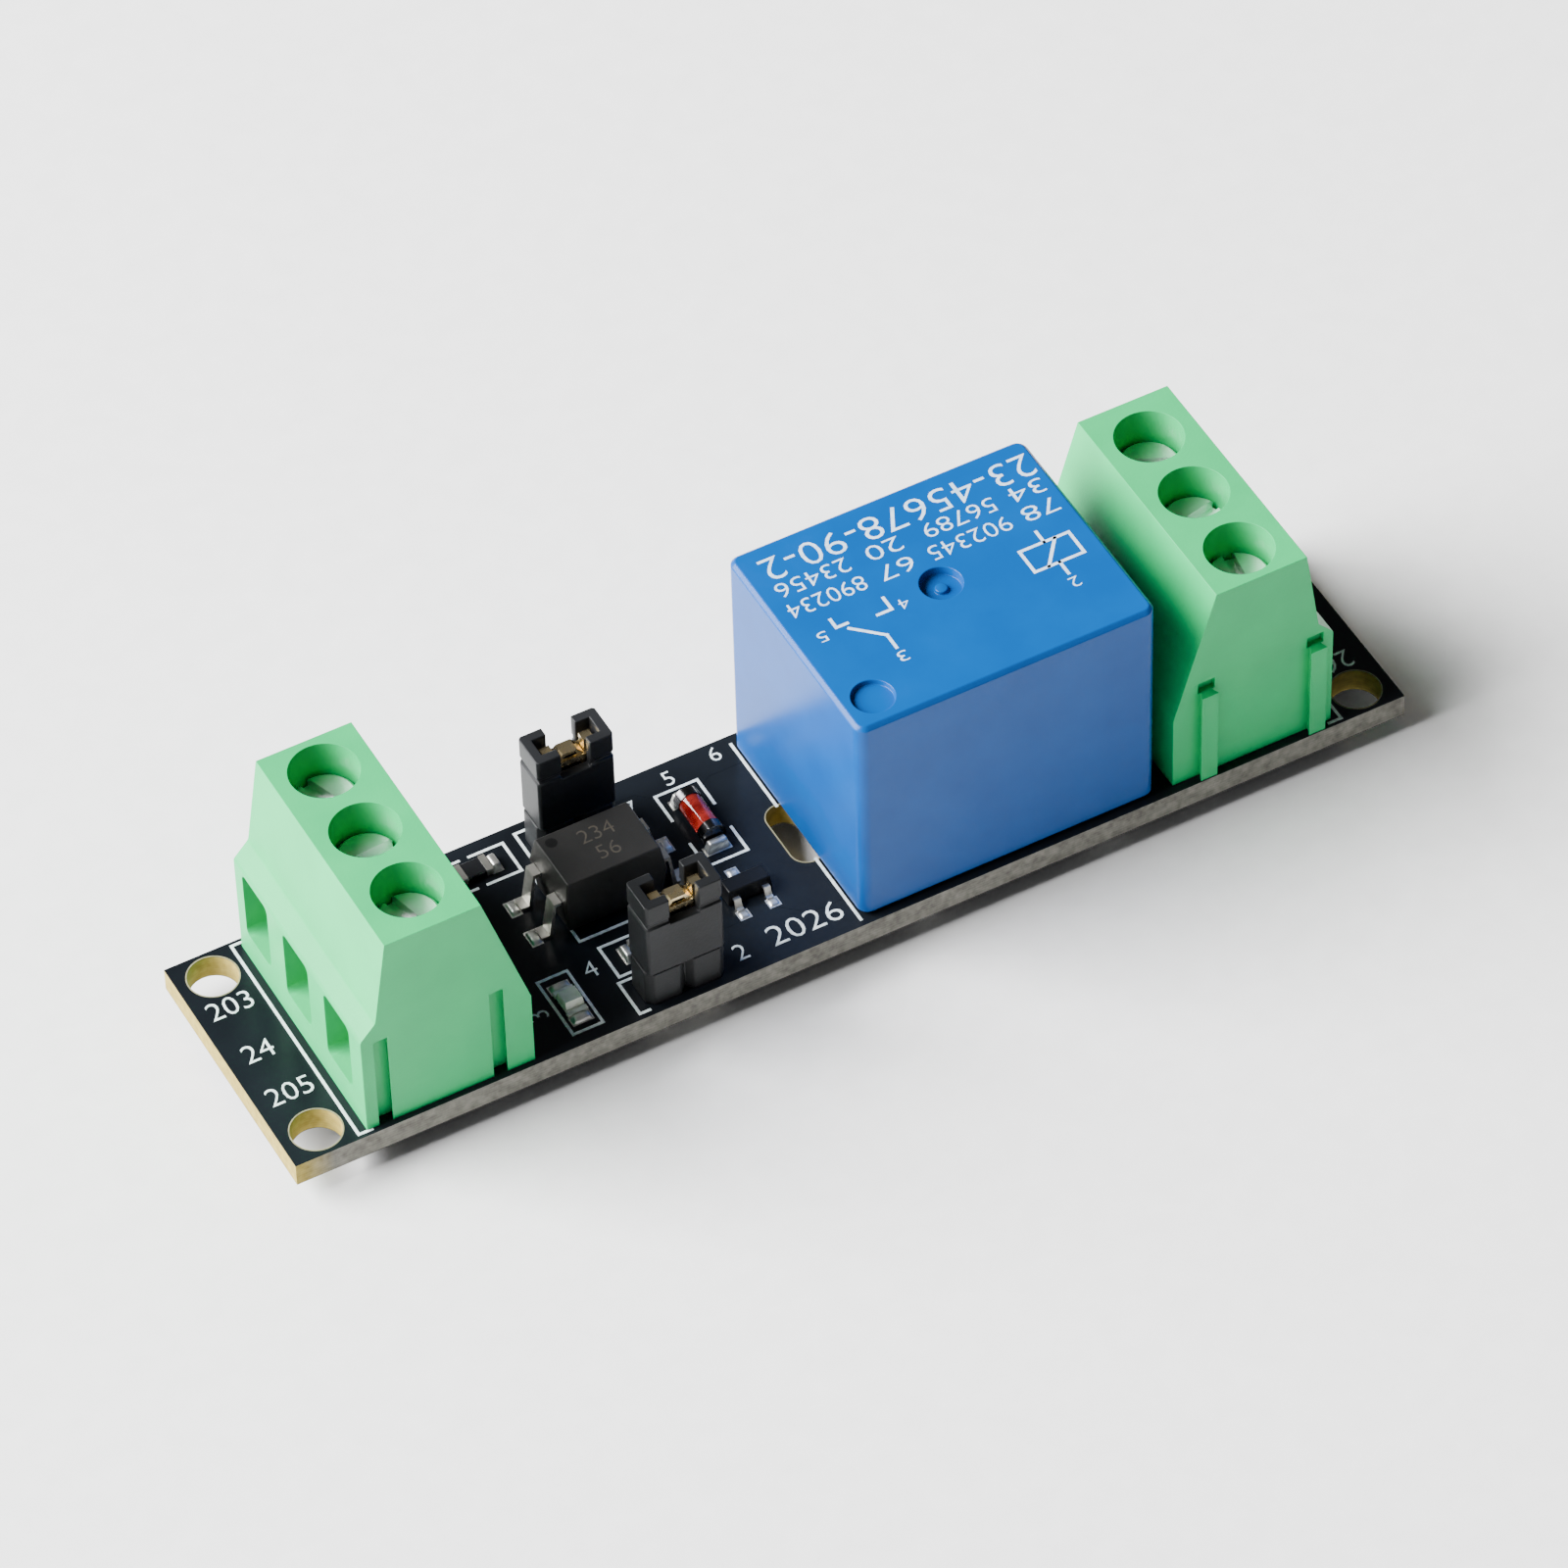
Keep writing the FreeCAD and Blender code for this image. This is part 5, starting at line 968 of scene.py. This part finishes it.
# Text, middle, height and width: three rows, then the diagram's own numbers
RELAY_ROWS = [
    ("23-45678-90-2", (-0.4, -5.8), 1.8, 17.4),
    ("34", (-7.8, -4.0), 1.15, 2.2), ("56789", (-3.4, -4.0), 1.15, 4.6),
    ("20", (1.5, -4.0), 1.15, 2.2), ("23456", (6.1, -4.0), 1.15, 4.6),
    ("78", (-7.7, -2.3), 1.15, 2.2), ("902345", (-3.1, -2.3), 1.15, 5.2),
    ("67", (1.6, -2.3), 1.15, 2.2), ("890234", (6.1, -2.3), 1.15, 4.9),
    ("2", (-6.6, 3.6), 0.8, 0.6), ("3", (4.6, 3.8), 0.8, 0.6),
    ("4", (2.6, 0.3), 0.8, 0.6), ("5", (7.8, 0.3), 0.8, 0.6),
]
bm = bmesh.new()
for places in DIAGRAM:
    line(bm, [on_relay(*spot) for spot in places], DIAGRAM_LINE, PRINT_FOOT, INK)
for text, spot, tall, wide in RELAY_ROWS:
    number(bm, text, on_relay(*spot), tall, 180, PRINT_FOOT, wide)
relay_print = new_piece(bm, "relay_wiring_diagram", relay_ink, "module")
print("relay print faces:", len(relay_print.data.polygons))

# %% [markdown]
# ## Marks on the optocoupler
#
# The chip's top has a small round hollow that shows its first lead, and two short rows
# that a laser burnt into the compound. The burn is only a little paler and browner than
# the black round it. Here the hollow is drawn as a near-black spot of painted shade, and
# the rows are numbers.

# %% Pin-one spot and burnt numbers
BURNT_TALL, BURNT_ASIDE = 1.05, 0.35
SPOT_RADIUS, SPOT_INSET, SPOT_STEPS = 0.36, 1.0, 32
chip_low, chip_high = corner_mm("optocoupler_body")
chip_mid = (chip_low + chip_high) / 2
laser_mark = chalky_film("laser_burnt_epoxy", "#322d25", "#26231e")
# Near black: painted shade inside the pin-one hollow
pin_one_painted_shade = moulded_plastic(
    "painted_shade_for_pin_one_hollow", "#0b0b0b", "#070707", roughness=0.5,
    Specular_IOR_Level=0.2)

bm = bmesh.new()
for text, ahead in (("234", 0.75), ("56", -0.75)):
    spot = (chip_mid.x + BURNT_ASIDE, chip_mid.y + ahead)
    number(bm, text, spot, BURNT_TALL, 0, chip_high.z - INK + LIFT)
new_piece(bm, "burnt_numbers", laser_mark, "module")

bm = bmesh.new()
disc = bmesh.ops.create_circle(
    bm, cap_ends=True, segments=SPOT_STEPS, radius=SPOT_RADIUS * MM)["verts"]
spot = mm(chip_low.x + SPOT_INSET, chip_high.y - SPOT_INSET, chip_high.z)
bmesh.ops.translate(bm, verts=disc, vec=spot)
extruded = bmesh.ops.extrude_face_region(bm, geom=list(bm.faces))["geom"]
lid = [part for part in extruded if isinstance(part, bmesh.types.BMVert)]
bmesh.ops.translate(bm, verts=lid, vec=mm(0, 0, LIFT))
bmesh.ops.recalc_face_normals(bm, faces=bm.faces)
pin_one = new_piece(bm, "pin_one_spot", pin_one_painted_shade, "module")
print("chip top at:", round(chip_high.z, 2), "mm, spot faces:", len(pin_one.data.polygons))

# %% [markdown]
# ## The table and the light
#
# A product photograph like this one is taken on a white sweep under one large soft light.
# A big flat plane of paper stands for the sweep. The light comes from the left and a
# little from behind, so the left and top faces are bright and a soft shadow falls to the
# right. The faces that look at the camera get their light from the paper in front of
# them, which is why they are about a third as bright. The world adds very little, so the
# screw wells and the jumpers' mouths stay dark.

# %% White sweep
SWEEP_HALF = 1.5
paper, tree, shader, place = open_finish("white_paper_sweep", Roughness=0.9)
two_tones(
    tree, shader, place, blob=2.0, dark="#eeeeee", light="#f3f3f3",
    spread=WIDE_SPREAD, detail=2.0)
sweep = bmesh.new()
bmesh.ops.create_grid(sweep, x_segments=2, y_segments=2, size=SWEEP_HALF)
sweep_mesh = bpy.data.meshes.new("white_sweep")
sweep.to_mesh(sweep_mesh)
sweep.free()
sweep_mesh.materials.append(paper)
white_sweep = put_in_scene("white_sweep", sweep_mesh)
print("sweep:", 2 * SWEEP_HALF, "m square")

# %% One soft light and a faint world
# The light's place and side in metres, and its power in watts
LIGHT_PLACE = Vector((-0.88, 0.36, 0.66))
LIGHT_SIDE, LIGHT_POWER = 1.0, 105.0
WORLD_STRENGTH = 0.14
light_data = bpy.data.lights.new("left_softbox", "AREA")
light_data.size = LIGHT_SIDE
light_data.energy = LIGHT_POWER
left_softbox = put_in_scene("left_softbox", light_data)
left_softbox.location = LIGHT_PLACE
left_softbox.rotation_euler = (-LIGHT_PLACE).to_track_quat("-Z", "Y").to_euler()
world = bpy.data.worlds.new("studio")
world.use_nodes = True
background = world.node_tree.nodes["Background"]
background.inputs["Color"].default_value = linear("#ffffff")
background.inputs["Strength"].default_value = WORLD_STRENGTH
bpy.context.scene.world = world
print("lights:", len(bpy.data.lights))

# %% [markdown]
# ## The end

# %% The end
print("the end")
